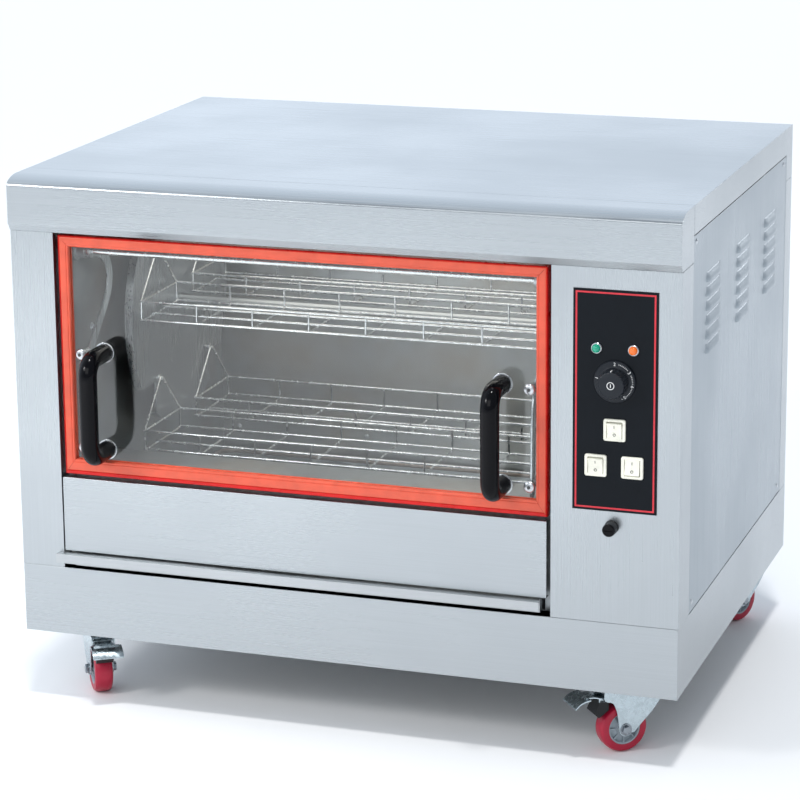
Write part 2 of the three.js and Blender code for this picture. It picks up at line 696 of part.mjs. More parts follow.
/** A knob: a dished skirt that carries the scale, a round grip and a raised pointer. */
function temperatureKnob() {
  const profile = [
    [0, -KNOB_HEIGHT], [KNOB_GRIP_RADIUS - 2, -KNOB_HEIGHT],
    [KNOB_GRIP_RADIUS - 0.5, -KNOB_HEIGHT + KNOB_EDGE],
    [KNOB_GRIP_RADIUS + 0.5, -6], [KNOB_SKIRT_RADIUS - 3.5, -5], [KNOB_SKIRT_RADIUS, -2],
    [KNOB_SKIRT_RADIUS, 0], [0, 0],
  ];
  const body = turned(profile, "y", [KNOB.x, KNOB_FACE, KNOB.z], 24);
  const pointer = slab(
    [KNOB.x - POINTER_WIDTH / 2, KNOB.x + POINTER_WIDTH / 2],
    [KNOB_FACE - KNOB_HEIGHT + 2, KNOB_FACE - KNOB_SKIRT_RADIUS / 4],
    [KNOB.z + KNOB_GRIP_RADIUS - 3, KNOB.z + KNOB_GRIP_RADIUS + POINTER_REACH]);
  const boreEnd = -THERMOSTAT.spindle - RUNNING_GAP - 1;
  const bore = bar("y", SPINDLE_RADIUS + RUNNING_GAP, [boreEnd, 1], [KNOB.x, 0, KNOB.z]);
  piece("temperature_knob", cut(join(body, pointer), bore), greyPlastic());
}

const FRAME_FACE = PLATE_FRONT - RUNNING_GAP;
const ROCKER_PIVOT_Y = FRAME_FACE + 4;
const WELL_DEPTH = 12;

/** A square switch: a frame with its body behind the plate, and a rocker that tilts in its well. */
function rockerSwitch(name, { x, z, tilt }) {
  const centred = (size, grow = 0) => [-size / 2 - grow, size / 2 + grow];
  const around = (centre, [low, high]) => [centre + low, centre + high];
  const frame = slab(
    around(x, centred(SWITCH_FRAME.width)), [FRAME_FACE - SWITCH_FRAME.depth, FRAME_FACE],
    around(z, centred(SWITCH_FRAME.height)));
  const body = slab(
    around(x, centred(SWITCH_BODY.width)), [FRAME_FACE - 1, FRAME_FACE + SWITCH_BODY.depth],
    around(z, centred(SWITCH_BODY.height)));
  const well = slab(
    around(x, centred(ROCKER.width, 0.6)), [FRAME_FACE - SWITCH_FRAME.depth - 1, FRAME_FACE + WELL_DEPTH],
    around(z, centred(ROCKER.height, 1.2)));
  piece(`${name}_switch_frame`, cut(join(frame, body), well), creamPlastic());
  const half = ROCKER.height / 2;
  const { crown, dip, skirt, keel } = ROCKER;
  const outline = [[skirt, -half], [keel, 0], [skirt, half], [crown, half], [dip, 0], [crown, -half]];
  const holder = new THREE.Group();
  holder.position.set(x, ROCKER_PIVOT_Y, z);
  holder.rotation.x = THREE.MathUtils.degToRad(tilt * ROCKER.tilt);
  oven.add(holder);
  piece(`${name}_rocker`, alongX(outline, centred(ROCKER.width)), creamPlastic(), holder);
}

const FUSE_COLLAR_RADIUS = 10;
const FUSE_COLLAR = 3.5; // how far the collar stands off the fascia
const FUSE_NECK = 8;
const FUSE_BACK = 30;
const FUSE_CAP_END = 20;
const COIN_SLOT = { length: 12, width: 1.8, depth: 1.5 };

/** A panel fuse holder and the cap that turns in it. */
function fuse() {
  const face = 0.5;
  const holder = [
    [0, -FUSE_NECK], [FUSE_BODY_RADIUS, -FUSE_NECK], [FUSE_BODY_RADIUS, -FUSE_COLLAR],
    [FUSE_COLLAR_RADIUS, -FUSE_COLLAR], [FUSE_COLLAR_RADIUS, -face], [FUSE_BODY_RADIUS, -face],
    [FUSE_BODY_RADIUS, FUSE_BACK], [0, FUSE_BACK],
  ];
  piece("fuse_holder", turned(holder, "y", [FUSE.x, 0, FUSE.z], 12), blackPlastic());
  const [mouth, socket] = [FUSE_COLLAR + face, FUSE_BODY_RADIUS + 1];
  const cap = [
    [0, -FUSE_CAP_END], [FUSE_CAP_RADIUS - 1.5, -FUSE_CAP_END], [FUSE_CAP_RADIUS, -FUSE_CAP_END + 2],
    [FUSE_CAP_RADIUS, -mouth], [socket, -mouth], [socket, -FUSE_NECK - 2], [0, -FUSE_NECK - 2],
  ];
  const slot = slab(
    [FUSE.x - COIN_SLOT.length / 2, FUSE.x + COIN_SLOT.length / 2],
    [-FUSE_CAP_END - 1, -FUSE_CAP_END + COIN_SLOT.depth],
    [FUSE.z - COIN_SLOT.width / 2, FUSE.z + COIN_SLOT.width / 2]);
  piece("fuse_cap", cut(turned(cap, "y", [FUSE.x, 0, FUSE.z], 18), slot), blackPlastic());
}

function controls() {
  controlPlate();
  pilotLight("power_light", LIGHTS.power, greenLens());
  pilotLight("heat_light", LIGHTS.heat, orangeLens());
  thermostat();
  temperatureKnob();
  Object.entries(SWITCHES).forEach(([name, place]) => rockerSwitch(name, place));
  fuse();
}

// ---------------------------------------------------------------------------
// Door
// ---------------------------------------------------------------------------

function glassAndSeal() {
  const pane = (inset) => [
    [DOOR_LEFT + inset, DOOR_RIGHT - inset],
    [DOOR_BOTTOM + inset, DOOR_TOP - inset],
  ];
  const [glassX, glassZ] = pane(GLASS_INSET);
  piece("door_glass", slab(glassX, [GLASS_FRONT, GLASS_BACK], glassZ), clearGlass());
  const [grooveX, grooveZ] = pane(GLASS_INSET - RUNNING_GAP);
  const outer = slab([DOOR_LEFT, DOOR_RIGHT], [SEAL_FRONT, SEAL_BACK], [DOOR_BOTTOM, DOOR_TOP]);
  const groove = slab(grooveX, [GLASS_FRONT - RUNNING_GAP, GLASS_BACK + RUNNING_GAP], grooveZ);
  const window = slab(
    [DOOR_LEFT + SEAL_WIDTH, DOOR_RIGHT - SEAL_WIDTH], [SEAL_FRONT - 1, SEAL_BACK + 1],
    [DOOR_BOTTOM + SEAL_BOTTOM_WIDTH, DOOR_TOP - SEAL_WIDTH]);
  piece("door_seal", cut(outer, groove, window), redRubber());
}

const ARM_WIDTH = 16;
const SWAN_NECK = [[98, 670], [120, 648], [121, 622], [104, 596]]; // [y, z] of the bend behind the shaft
const ARM_FOOT = [[46, 538], [30, 500], [27, 385]]; // and of the straight behind the glass
const SPACER_RADIUS = 6;
const SPACER_END = 36;

/** A swan-necked arm from the hinge shaft down to its two fixings on the glass. */
function doorArm(name, x) {
  const half = ARM_THICKNESS / 2;
  const line = [[HINGE_Y, HINGE_Z], ...SWAN_NECK, ...ARM_FOOT];
  const blade = alongX(strip(line, ARM_WIDTH), [x - half, x + half]);
  const hub = bar("x", BUSH_RADIUS, [-half, half], [x, HINGE_Y, HINGE_Z]);
  const through = [-ARM_THICKNESS, ARM_THICKNESS];
  const shaftHole = bar("x", DOOR_SHAFT_RADIUS + RUNNING_GAP, through, [x, HINGE_Y, HINGE_Z]);
  const spacers = FIXING_HEIGHTS.map(
    (z) => bar("y", SPACER_RADIUS, [GLASS_BACK + RUNNING_GAP, SPACER_END], [x, 0, z], 8));
  piece(name, join(cut(join(blade, hub), shaftHole), ...spacers), steel());
}

/** A round U-shaped pull, standing off the glass. */
function handle(name, x) {
  const [foot, grip] = [GLASS_FRONT - RUNNING_GAP, GLASS_FRONT - HANDLE_REACH];
  const corners = [[foot, HANDLE_LOW], [grip, HANDLE_LOW], [grip, HANDLE_HIGH], [foot, HANDLE_HIGH]];
  const points = rounded(corners.map(([y, z]) => new THREE.Vector3(x, y, z)), HANDLE_BEND);
  piece(name, tube(points, HANDLE_RADIUS, 12), blackPlastic());
}

function door() {
  glassAndSeal();
  const shaft = [CAVITY_LEFT + END_FLOAT, CAVITY_RIGHT - END_FLOAT];
  piece("door_shaft", bar("x", DOOR_SHAFT_RADIUS, shaft, [0, HINGE_Y, HINGE_Z]), wireSteel());
  doorArm("left_door_arm", DOOR_MIDDLE - ARM_OFFSET);
  doorArm("right_door_arm", DOOR_MIDDLE + ARM_OFFSET);
  handle("left_handle", DOOR_MIDDLE - HANDLE_OFFSET);
  handle("right_handle", DOOR_MIDDLE + HANDLE_OFFSET);
}

// ---------------------------------------------------------------------------
// Rotor and baskets
// ---------------------------------------------------------------------------

/** An end plate: a disc notched at each basket pin. */
function rotorPlate(name, x) {
  const through = [-ROTOR_PLATE, ROTOR_PLATE];
  const half = THREE.MathUtils.radToDeg(Math.asin(NOTCH_OFFSET / ROTOR_RADIUS));
  const outline = [0, 90, 180, 270].flatMap((turn) => {
    const angle = THREE.MathUtils.degToRad(turn + 45);
    const corner = NOTCH_OFFSET * Math.SQRT2;
    return [
      ...arc([ROTOR_Y, ROTOR_Z], [ROTOR_RADIUS, ROTOR_RADIUS], [turn - half, turn + half], 7),
      [ROTOR_Y + corner * Math.cos(angle), ROTOR_Z + corner * Math.sin(angle)],
    ];
  });
  const plate = alongX(outline, [x - ROTOR_PLATE / 2, x + ROTOR_PLATE / 2]);
  const shaftHole = bar("x", SHAFT_RADIUS + RUNNING_GAP, through, [x, ROTOR_Y, ROTOR_Z]);
  const pinHoles = basketPins().map(([y, z]) => bar("x", PIN_RADIUS + RUNNING_GAP, through, [x, y, z], 8));
  piece(name, cut(plate, shaftHole, ...pinHoles), steel());
}

/** Pin centres: upper front, lower front, lower back, upper back. */
function basketPins() {
  return [[-1, 1], [-1, -1], [1, -1], [1, 1]].map(
    ([back, up]) => [ROTOR_Y + back * PIN_OFFSET, ROTOR_Z + up * PIN_OFFSET]);
}

/** A wire basket hanging level from a pin at each end. */
function basket(name, [pinY, pinZ]) {
  const [front, back] = [pinY - BASKET_HALF_DEPTH, pinY + BASKET_HALF_DEPTH];
  const [rail, floor] = [pinZ - BASKET_RAIL_DROP, pinZ - BASKET_FLOOR_DROP];
  const [left, right] = [BASKET_LEFT - RAIL_WIRE / 2, BASKET_RIGHT + RAIL_WIRE / 2];
  const long = (y, z) => wire([left, y, z], [right, y, z], RAIL_WIRE);
  const floorRows = [0, 1, 2, 3].map((i) => front + ((back - front) * i) / 3);
  const wires = [long(front, rail), long(back, rail), ...floorRows.map((y) => long(y, floor))];
  for (let bay = 0; bay <= BASKET_BAYS; bay += 1) {
    const x = BASKET_LEFT + ((BASKET_RIGHT - BASKET_LEFT) * bay) / BASKET_BAYS;
    wires.push(wire([x, front, rail], [x, front, floor], CROSS_WIRE));
    if (BASKET_CROSS_BAYS.includes(bay)) {
      wires.push(
        wire([x, front, floor - 1], [x, back, floor - 1], CROSS_WIRE),
        wire([x, back, floor], [x, back, rail], CROSS_WIRE));
    }
  }
  const ends = [[BASKET_LEFT, LEFT_PLATE_X - PIN_OVERHANG], [BASKET_RIGHT, RIGHT_PLATE_X + PIN_OVERHANG]];
  ends.forEach(([x, end]) => {
    const root = x - Math.sign(end) * 2; // just inside the end wires
    wires.push(
      wire([x, front, rail], [x, pinY, pinZ], CROSS_WIRE),
      wire([x, back, rail], [x, pinY, pinZ], CROSS_WIRE),
      bar("x", PIN_RADIUS, [Math.min(root, end), Math.max(root, end)], [0, pinY, pinZ], 8));
  });
  piece(name, join(...wires), wireSteel());
}

function rotor() {
  rotorPlate("left_rotor_plate", LEFT_PLATE_X);
  rotorPlate("right_rotor_plate", RIGHT_PLATE_X);
  const span = [CAVITY_LEFT + END_FLOAT, CAVITY_RIGHT + SHEET + GAP + SHAFT_IN_GEARBOX];
  piece("rotor_shaft", bar("x", SHAFT_RADIUS, span, [0, ROTOR_Y, ROTOR_Z]), steel());
  basketPins().forEach((pin, i) => basket(`basket_${i + 1}`, pin));
}

// ---------------------------------------------------------------------------
// Drip tray
// ---------------------------------------------------------------------------

function dripTray() {
  const pan = slab([TRAY_LEFT, TRAY_RIGHT], [TRAY_FRONT, TRAY_BACK], [TRAY_BOTTOM, TRAY_TOP]);
  const inside = slab(
    [TRAY_LEFT + SHEET, TRAY_RIGHT - SHEET], [TRAY_FRONT + SHEET, TRAY_BACK - SHEET],
    [TRAY_BOTTOM + SHEET, TRAY_TOP + 1]);
  const lip = [TRAY_TOP - SHEET, TRAY_TOP];
  const rail = [TRAY_RAIL_LEFT, TRAY_RAIL_RIGHT];
  const solid = join(
    cut(pan, inside),
    slab([TRAY_LEFT, TRAY_RIGHT], [-2, TRAY_FRONT + 1], lip),
    slab(rail, [TRAY_RAIL_FRONT, -1], lip),
    slab(rail, [TRAY_RAIL_FRONT, TRAY_RAIL_FRONT + SHEET], [TRAY_RAIL_BOTTOM, TRAY_TOP]));
  piece("drip_tray", solid, steel());
}

// ---------------------------------------------------------------------------
// Casters, each drawn about its swivel axis with the wheel trailing along +X
// ---------------------------------------------------------------------------

const HEAD_TOP = PAN_BOTTOM - PAD_THICKNESS - RUNNING_GAP;
const HEAD_BOTTOM = HEAD_TOP - 12;
const BRIDGE_HALF = 2; // half the thickness of the fork's bridge

/** An outline of [x, z] points extruded along Y, for pieces that lie fore and aft in a caster. */
function alongY(outline, [y0, y1]) {
  const shape = new THREE.Shape(outline.map(([x, z]) => new THREE.Vector2(x, z)));
  const geometry = new THREE.ExtrudeGeometry(shape, { depth: y1 - y0, bevelEnabled: false });
  geometry.rotateX(Math.PI / 2);
  geometry.translate(0, y1, 0);
  return toSolid(geometry);
}

/** A fork: a swivel head, a bridge, two cheeks that narrow to the axle, and the axle. */
function forkSolid() {
  const crown = HEAD_BOTTOM + BRIDGE_HALF;
  const leading = [[-34, crown], [-30, 84], [-18, 64], [0, 46], [14, 30]];
  const trailing = [[39, 62], [44, 78], [60, 82], [60, crown]];
  const toe = arc([CASTER_TRAIL, WHEEL_RADIUS], [10, 10], [215, 345], 4);
  const near = FORK_GAP / 2;
  const cheeks = [[near, near + FORK_PLATE], [-near - FORK_PLATE, -near]].map(
    (ys) => alongY([...leading, ...toe, ...trailing], ys));
  const bridge = slab([-34, 40], [-near - 0.5, near + 0.5], [HEAD_BOTTOM - BRIDGE_HALF, crown]);
  const head = bar("z", HEAD_RADIUS, [HEAD_BOTTOM, HEAD_TOP], [0, 0, 0], 16);
  const axleEnd = near + FORK_PLATE + 4;
  const axle = bar("y", AXLE_RADIUS, [-axleEnd, axleEnd], [CASTER_TRAIL, 0, WHEEL_RADIUS], 10);
  return join(head, bridge, ...cheeks, axle);
}

/** A wheel with a bored hub, a dished web and a crowned tread. */
function wheelSolid() {
  const edge = WHEEL_WIDTH / 2;
  const [bore, hub, rim, shoulder] = [AXLE_RADIUS + RUNNING_GAP, 9, 23, 31];
  const right = [
    [bore, edge - 1], [hub, edge - 1], [rim - 1, edge - 5], [rim + 1, edge], [shoulder, edge],
    [WHEEL_RADIUS, edge - 6],
  ];
  const left = right.map(([radius, height]) => [radius, -height]);
  return turned([...left, ...right.reverse(), left[0]], "y", [CASTER_TRAIL, 0, WHEEL_RADIUS], 18);
}

/** A brake: a bent pedal, wider at the toe, and the shoe under it. */
function brakeSolid() {
  const line = [[46, 92], [60, 84], [72, 86], [84, 93], [106, 98]];
  const [thickness, halfWidth, halfToe, halfShoe] = [2, 13, 23, 10];
  const pedal = alongY(strip(line, thickness), [-halfWidth, halfWidth]);
  const toe = alongY(strip(line.slice(2), thickness), [-halfToe, halfToe]);
  const shoe = slab([56, 72], [-halfShoe, halfShoe], [66, 86]);
  return join(pedal, toe, shoe);
}

function casters() {
  const [fork, wheel, brake] = [forkSolid(), wheelSolid(), brakeSolid()];
  Object.entries(CASTERS).forEach(([name, { x, y, heading, brake: braked }]) => {
    const caster = new THREE.Group();
    caster.position.set(x, y, 0);
    caster.rotation.z = THREE.MathUtils.degToRad(heading);
    oven.add(caster);
    piece(`${name}_fork`, fork, zinc(), caster);
    piece(`${name}_wheel`, wheel, redTread(), caster);
    if (braked) piece(`${name}_brake`, brake, zinc(), caster);
  });
}

// ---------------------------------------------------------------------------
// Assembly
// ---------------------------------------------------------------------------

plinth();
basePan();
frontColumns();
sidePanels();
rearPanel();
rearPosts();
lid();
hood();
apron();
cableGland();
cavity();
sill();
heater("upper_heater", [250, 450], 757);
heater("lower_heater", [200, 500], 262);
lamp();
gearMotor();
controls();
door();
rotor();
dripTray();
casters();

const group = new THREE.Group();
oven.position.y = -CENTRE_Y;
group.add(oven);

export default group;
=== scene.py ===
import json
import math

import bmesh
import bpy
from mathutils import Matrix, Vector


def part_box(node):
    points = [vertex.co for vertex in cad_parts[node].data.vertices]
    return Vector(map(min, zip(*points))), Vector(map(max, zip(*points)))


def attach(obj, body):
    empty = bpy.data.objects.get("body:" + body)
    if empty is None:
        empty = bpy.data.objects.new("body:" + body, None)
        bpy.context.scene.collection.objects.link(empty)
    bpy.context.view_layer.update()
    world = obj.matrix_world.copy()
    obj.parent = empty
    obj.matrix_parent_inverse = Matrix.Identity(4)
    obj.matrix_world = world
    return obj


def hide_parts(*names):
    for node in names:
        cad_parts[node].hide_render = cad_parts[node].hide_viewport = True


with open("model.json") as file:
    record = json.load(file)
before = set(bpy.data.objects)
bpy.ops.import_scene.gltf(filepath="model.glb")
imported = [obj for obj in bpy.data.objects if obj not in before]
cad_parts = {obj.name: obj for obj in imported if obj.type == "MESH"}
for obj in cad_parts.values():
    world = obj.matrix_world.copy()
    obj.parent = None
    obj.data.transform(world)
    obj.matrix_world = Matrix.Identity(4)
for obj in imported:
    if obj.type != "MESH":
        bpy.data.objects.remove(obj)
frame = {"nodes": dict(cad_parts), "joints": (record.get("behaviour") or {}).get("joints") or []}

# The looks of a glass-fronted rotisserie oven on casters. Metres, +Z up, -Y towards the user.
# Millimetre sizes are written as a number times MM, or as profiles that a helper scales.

MM = 0.001
X, Y, Z = Vector((1, 0, 0)), Vector((0, 1, 0)), Vector((0, 0, 1))
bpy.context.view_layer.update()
joints = {joint["name"]: joint for joint in frame["joints"]}


def pivot(name):
    """The point that a joint turns about."""
    return Vector(joints[name]["pos_m"])


def middle(node):
    """The centre of a CAD node's box."""
    low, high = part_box(node)
    return (low + high) / 2


def linked(name, data):
    """A new object in the scene."""
    made = bpy.data.objects.new(name, data)
    bpy.context.scene.collection.objects.link(made)
    return made


# --- Materials ---


class Look:
    """A Principled material being built from nodes."""

    def __init__(self, name, color, roughness, metallic=0.0, **sockets):
        self.material = bpy.data.materials.new(name)
        self.material.use_nodes = True
        self.tree = self.material.node_tree
        self.shader = self.tree.nodes["Principled BSDF"]
        self.shader.inputs["Base Color"].default_value = (*color, 1)
        self.shader.inputs["Roughness"].default_value = roughness
        self.shader.inputs["Metallic"].default_value = metallic
        for socket, value in sockets.items():
            self.shader.inputs[socket.replace("_", " ")].default_value = value
        self.place = self.node("ShaderNodeTexCoord").outputs["Object"]

    def node(self, kind, **settings):
        made = self.tree.nodes.new(kind)
        for key, value in settings.items():
            setattr(made, key, value)
        return made

    def link(self, source, target):
        self.tree.links.new(source, target)

    def noise(self, scale, stretch=(1, 1, 1), detail=4.0, turn=(0, 0, 0)):
        """Noise of so many cells to the metre, more of them along the stretched axes."""
        mapping = self.node("ShaderNodeMapping")
        mapping.inputs["Scale"].default_value = stretch
        mapping.inputs["Rotation"].default_value = turn
        texture = self.node("ShaderNodeTexNoise")
        texture.inputs["Scale"].default_value = scale
        texture.inputs["Detail"].default_value = detail
        self.link(self.place, mapping.inputs["Vector"])
        self.link(mapping.outputs["Vector"], texture.inputs["Vector"])
        return texture.outputs["Fac"]

    def spread(self, source, low, high, start=0.35, end=0.65):
        """A value that runs from low to high as the source runs from start to end."""
        ranged = self.node("ShaderNodeMapRange")
        for socket, value in (("From Min", start), ("From Max", end), ("To Min", low), ("To Max", high)):
            ranged.inputs[socket].default_value = value
        self.link(source, ranged.inputs["Value"])
        return ranged.outputs["Result"]

    def added(self, first, second):
        total = self.node("ShaderNodeMath", operation="ADD")
        self.link(first, total.inputs[0])
        self.link(second, total.inputs[1])
        return total.outputs["Value"]

    def colored(self, source, first, second, start=0.35, end=0.65):
        """The base colour runs from the first to the second with the source."""
        blend = self.node("ShaderNodeMix", data_type="RGBA")
        blend.inputs["A"].default_value = (*first, 1)
        blend.inputs["B"].default_value = (*second, 1)
        self.link(self.spread(source, 0, 1, start, end), blend.inputs["Factor"])
        self.link(blend.outputs["Result"], self.shader.inputs["Base Color"])

    def rough(self, source):
        self.link(source, self.shader.inputs["Roughness"])

    def bumped(self, source, depth, strength=1.0):
        bump = self.node("ShaderNodeBump")
        bump.inputs["Distance"].default_value = depth
        bump.inputs["Strength"].default_value = strength
        self.link(source, bump.inputs["Height"])
        self.link(bump.outputs["Normal"], self.shader.inputs["Normal"])


def shade(color, factor):
    return tuple(channel * factor for channel in color)


def brushed(name, color, roughness, grain, contrast=0.04, smudge=0.07):
    """Brushed sheet: fine streaks along the grain axis, faint smudges and a few long scratches."""
    look = Look(name, color, roughness, metallic=1.0)
    across = tuple(0.006 if axis == grain else 1.0 for axis in "xyz")
    streaks = look.noise(900, across, detail=3)
    clouds = look.noise(3.2, detail=3)
    scratches = look.noise(260, tuple(0.012 if axis == grain else 1 for axis in "xyz"), 2, (0.03, 0.04, 0.05))
    look.colored(streaks, shade(color, 1 - contrast), shade(color, 1 + contrast / 2))
    fine = look.spread(streaks, roughness - 0.04, roughness + 0.05)
    worn = look.added(fine, look.spread(clouds, -smudge / 2, smudge))
    look.rough(look.added(worn, look.spread(scratches, 0, 0.06, 0.66, 0.7)))
    look.bumped(streaks, 0.00003, 0.5)
    return look.material


def plastic(name, color, roughness, grain=2200, depth=0.00002, **sockets):
    """Moulded plastic or rubber: a fine skin, with handling marks in the gloss."""
    look = Look(name, color, roughness, **sockets)
    marks = look.noise(38, detail=5)
    skin = look.noise(grain, detail=2)
    look.colored(marks, shade(color, 0.9), shade(color, 1.06))
    look.rough(look.added(look.spread(marks, roughness - 0.03, roughness + 0.07), look.spread(skin, 0, 0.03)))
    look.bumped(skin, depth, 0.6)
    return look.material


def plated(name, color, roughness, mottle=120):
    """Plated or drawn bright metal: slightly mottled in colour and gloss."""
    look = Look(name, color, roughness, metallic=1.0)
    spots = look.noise(mottle, detail=5)
    look.colored(spots, shade(color, 0.84), shade(color, 1.05))
    look.rough(look.spread(spots, roughness - 0.05, roughness + 0.1))
    look.bumped(look.noise(900, detail=3), 0.00002, 0.5)
    return look.material


def liner(name, color, roughness):
    """Cavity sheet: dull, with baked-on browning in soft patches and fine speckle."""
    look = Look(name, color, roughness, metallic=1.0)
    patches = look.noise(7, detail=7)
    brown = (color[0] * 0.86, color[1] * 0.76, color[2] * 0.66)
    look.colored(patches, color, brown, 0.42, 0.72)
    speckle = look.noise(420, detail=3)
    stained = look.spread(patches, roughness - 0.05, roughness + 0.1)
    look.rough(look.added(stained, look.spread(speckle, 0, 0.06)))
    look.bumped(speckle, 0.00003, 0.5)
    return look.material


def lens(name, color, glow):
    """A lit coloured lens."""
    look = Look(name, color, 0.12, Emission_Color=(*color, 1), Emission_Strength=glow, Coat_Weight=0.5)
    cells = look.noise(700, detail=1)
    look.colored(cells, shade(color, 0.75), shade(color, 1.1))
    look.bumped(cells, 0.0001, 0.5)
    return look.material


def pane():
    """Clear toughened glass with a faint haze of wiping marks."""
    look = Look("clear_glass", (0.96, 0.985, 0.98), 0.0, Transmission_Weight=1.0, IOR=1.45)
    look.rough(look.spread(look.noise(9, (1, 1, 3), detail=6), 0.0, 0.035, 0.5, 0.8))
    return look.material


def pale_floor():
    look = Look("floor", (0.93, 0.93, 0.93), 0.75)
    look.rough(look.spread(look.noise(2, detail=2), 0.7, 0.8))
    return look.material


STEEL = (0.43, 0.458, 0.475)
steel_x = brushed("brushed_steel_along_x", STEEL, 0.27, "x")
steel_z = brushed("brushed_steel_along_z", STEEL, 0.27, "z")
panel_steel = brushed("brushed_panel_steel", (0.345, 0.385, 0.415), 0.3, "z")
satin_x = brushed("satin_steel_along_x", (0.47, 0.49, 0.50), 0.3, "x", smudge=0.12)
satin_z = brushed("satin_steel_along_z", (0.50, 0.53, 0.55), 0.26, "z")
plate_steel = brushed("rotor_plate_steel", (0.34, 0.36, 0.375), 0.3, "z", contrast=0.08)
# A darker copy of the liner steel, as painted shade, for the side walls, roof and base pan; the lighter copy
# goes on the back and sill.
liner_painted_shade = liner("liner_steel", (0.33, 0.35, 0.36), 0.36)
light_liner = liner("liner_back_steel", (0.55, 0.57, 0.57), 0.34)
wire_steel = plated("wire_steel", (0.80, 0.81, 0.81), 0.2)
zinc = plated("zinc_plate", (0.50, 0.575, 0.61), 0.24)
bolt_steel = plated("bolt_steel", (0.62, 0.64, 0.66), 0.26)
dark_steel = plated("axle_bolt_steel", (0.30, 0.33, 0.36), 0.24)
sheath = plated("heater_sheath", (0.24, 0.20, 0.17), 0.45)
black_gloss = plastic("black_plastic", (0.002, 0.002, 0.003), 0.06, Specular_IOR_Level=0.13)
black_matte = plastic("black_rubber", (0.012, 0.012, 0.013), 0.45, Specular_IOR_Level=0.3)
panel_black = plastic("panel_film", (0.005, 0.007, 0.010), 0.3, grain=1500, Specular_IOR_Level=0.12)
knob_black = plastic("knob_plastic", (0.012, 0.015, 0.020), 0.32, Specular_IOR_Level=0.25)
grey_plastic = plastic("grey_plastic", (0.13, 0.135, 0.145), 0.45)
hub_grey = plastic("hub_plastic", (0.30, 0.345, 0.38), 0.35)
cream = plastic("cream_plastic", (0.86, 0.84, 0.72), 0.3)
red_seal = plastic("red_seal", (0.72, 0.098, 0.048), 0.36, grain=900, Subsurface_Weight=0.05)
red_bead = plastic("red_bead", (0.60, 0.012, 0.010), 0.25, grain=900, Specular_IOR_Level=0.3)
red_ink = plastic("red_ink", (0.62, 0.02, 0.035), 0.35)
white_ink = plastic("white_ink", (0.82, 0.82, 0.80), 0.4)
# Dark ink for the printed rocker marks, and painted shade for the hex sockets of the door-arm fixings.
dark_ink_and_painted_shade = plastic("dark_ink_and_painted_shade", (0.05, 0.05, 0.05), 0.5)
crimson = plastic("red_tread", (0.40, 0.008, 0.035), 0.3, grain=700, Specular_IOR_Level=0.4)
motor_paint = plastic("motor_paint", (0.07, 0.075, 0.085), 0.5, grain=600, depth=0.0001)
green_lens = lens("green_lens", (0.0, 0.32, 0.19), 0.12)
orange_lens = lens("orange_lens", (0.80, 0.15, 0.01), 0.2)
clear_glass = pane()

# --- Shapes ---


def rounded(corners, radius, steps=5):
    """Points of a line with each corner rounded off."""
    points = [Vector(corners[0])]
    for before, corner, after in zip(corners, corners[1:], corners[2:]):
        before, corner, after = Vector(before), Vector(corner), Vector(after)
        cut = min(radius, (before - corner).length / 2, (after - corner).length / 2)
        start = corner + (before - corner).normalized() * cut
        end = corner + (after - corner).normalized() * cut
        for i in range(steps + 1):
            t = i / steps
            points.append(start * (1 - t) ** 2 + corner * 2 * t * (1 - t) + end * t**2)
    return points + [Vector(corners[-1])]


def smooth(points, steps=6):
    """Points of a Catmull-Rom curve through 2-D points."""
    padded = [points[0], *points, points[-1]]
    curve = []
    for a, b, c, d in zip(padded, padded[1:], padded[2:], padded[3:]):
        for i in range(steps):
            t = i / steps
            curve.append(tuple(
                0.5 * (2 * q + (r - p) * t + (2 * p - 5 * q + 4 * r - s) * t**2
                       + (3 * q - p - 3 * r + s) * t**3)
                for p, q, r, s in zip(a, b, c, d)))
    return curve + [tuple(points[-1])]


def arc(centre, radii, start, end, steps):
    """2-D points of an elliptical arc, angles in degrees."""
    angles = [math.radians(start + (end - start) * i / steps) for i in range(steps + 1)]
    return [(centre[0] + radii[0] * math.cos(a), centre[1] + radii[1] * math.sin(a)) for a in angles]


def ring(inner, outer, low, high):
    """The square section of a plain ring, or of a disc if the inner radius is 0."""
    return [(inner, low), (outer, low), (outer, high), (inner, high)]


def rod(radius, length, chamfer):
    """The section of a round bar with chamfered ends."""
    neck = radius - chamfer
    return [(0, 0), (neck, 0), (radius, chamfer), (radius, length - chamfer), (neck, length), (0, length)]


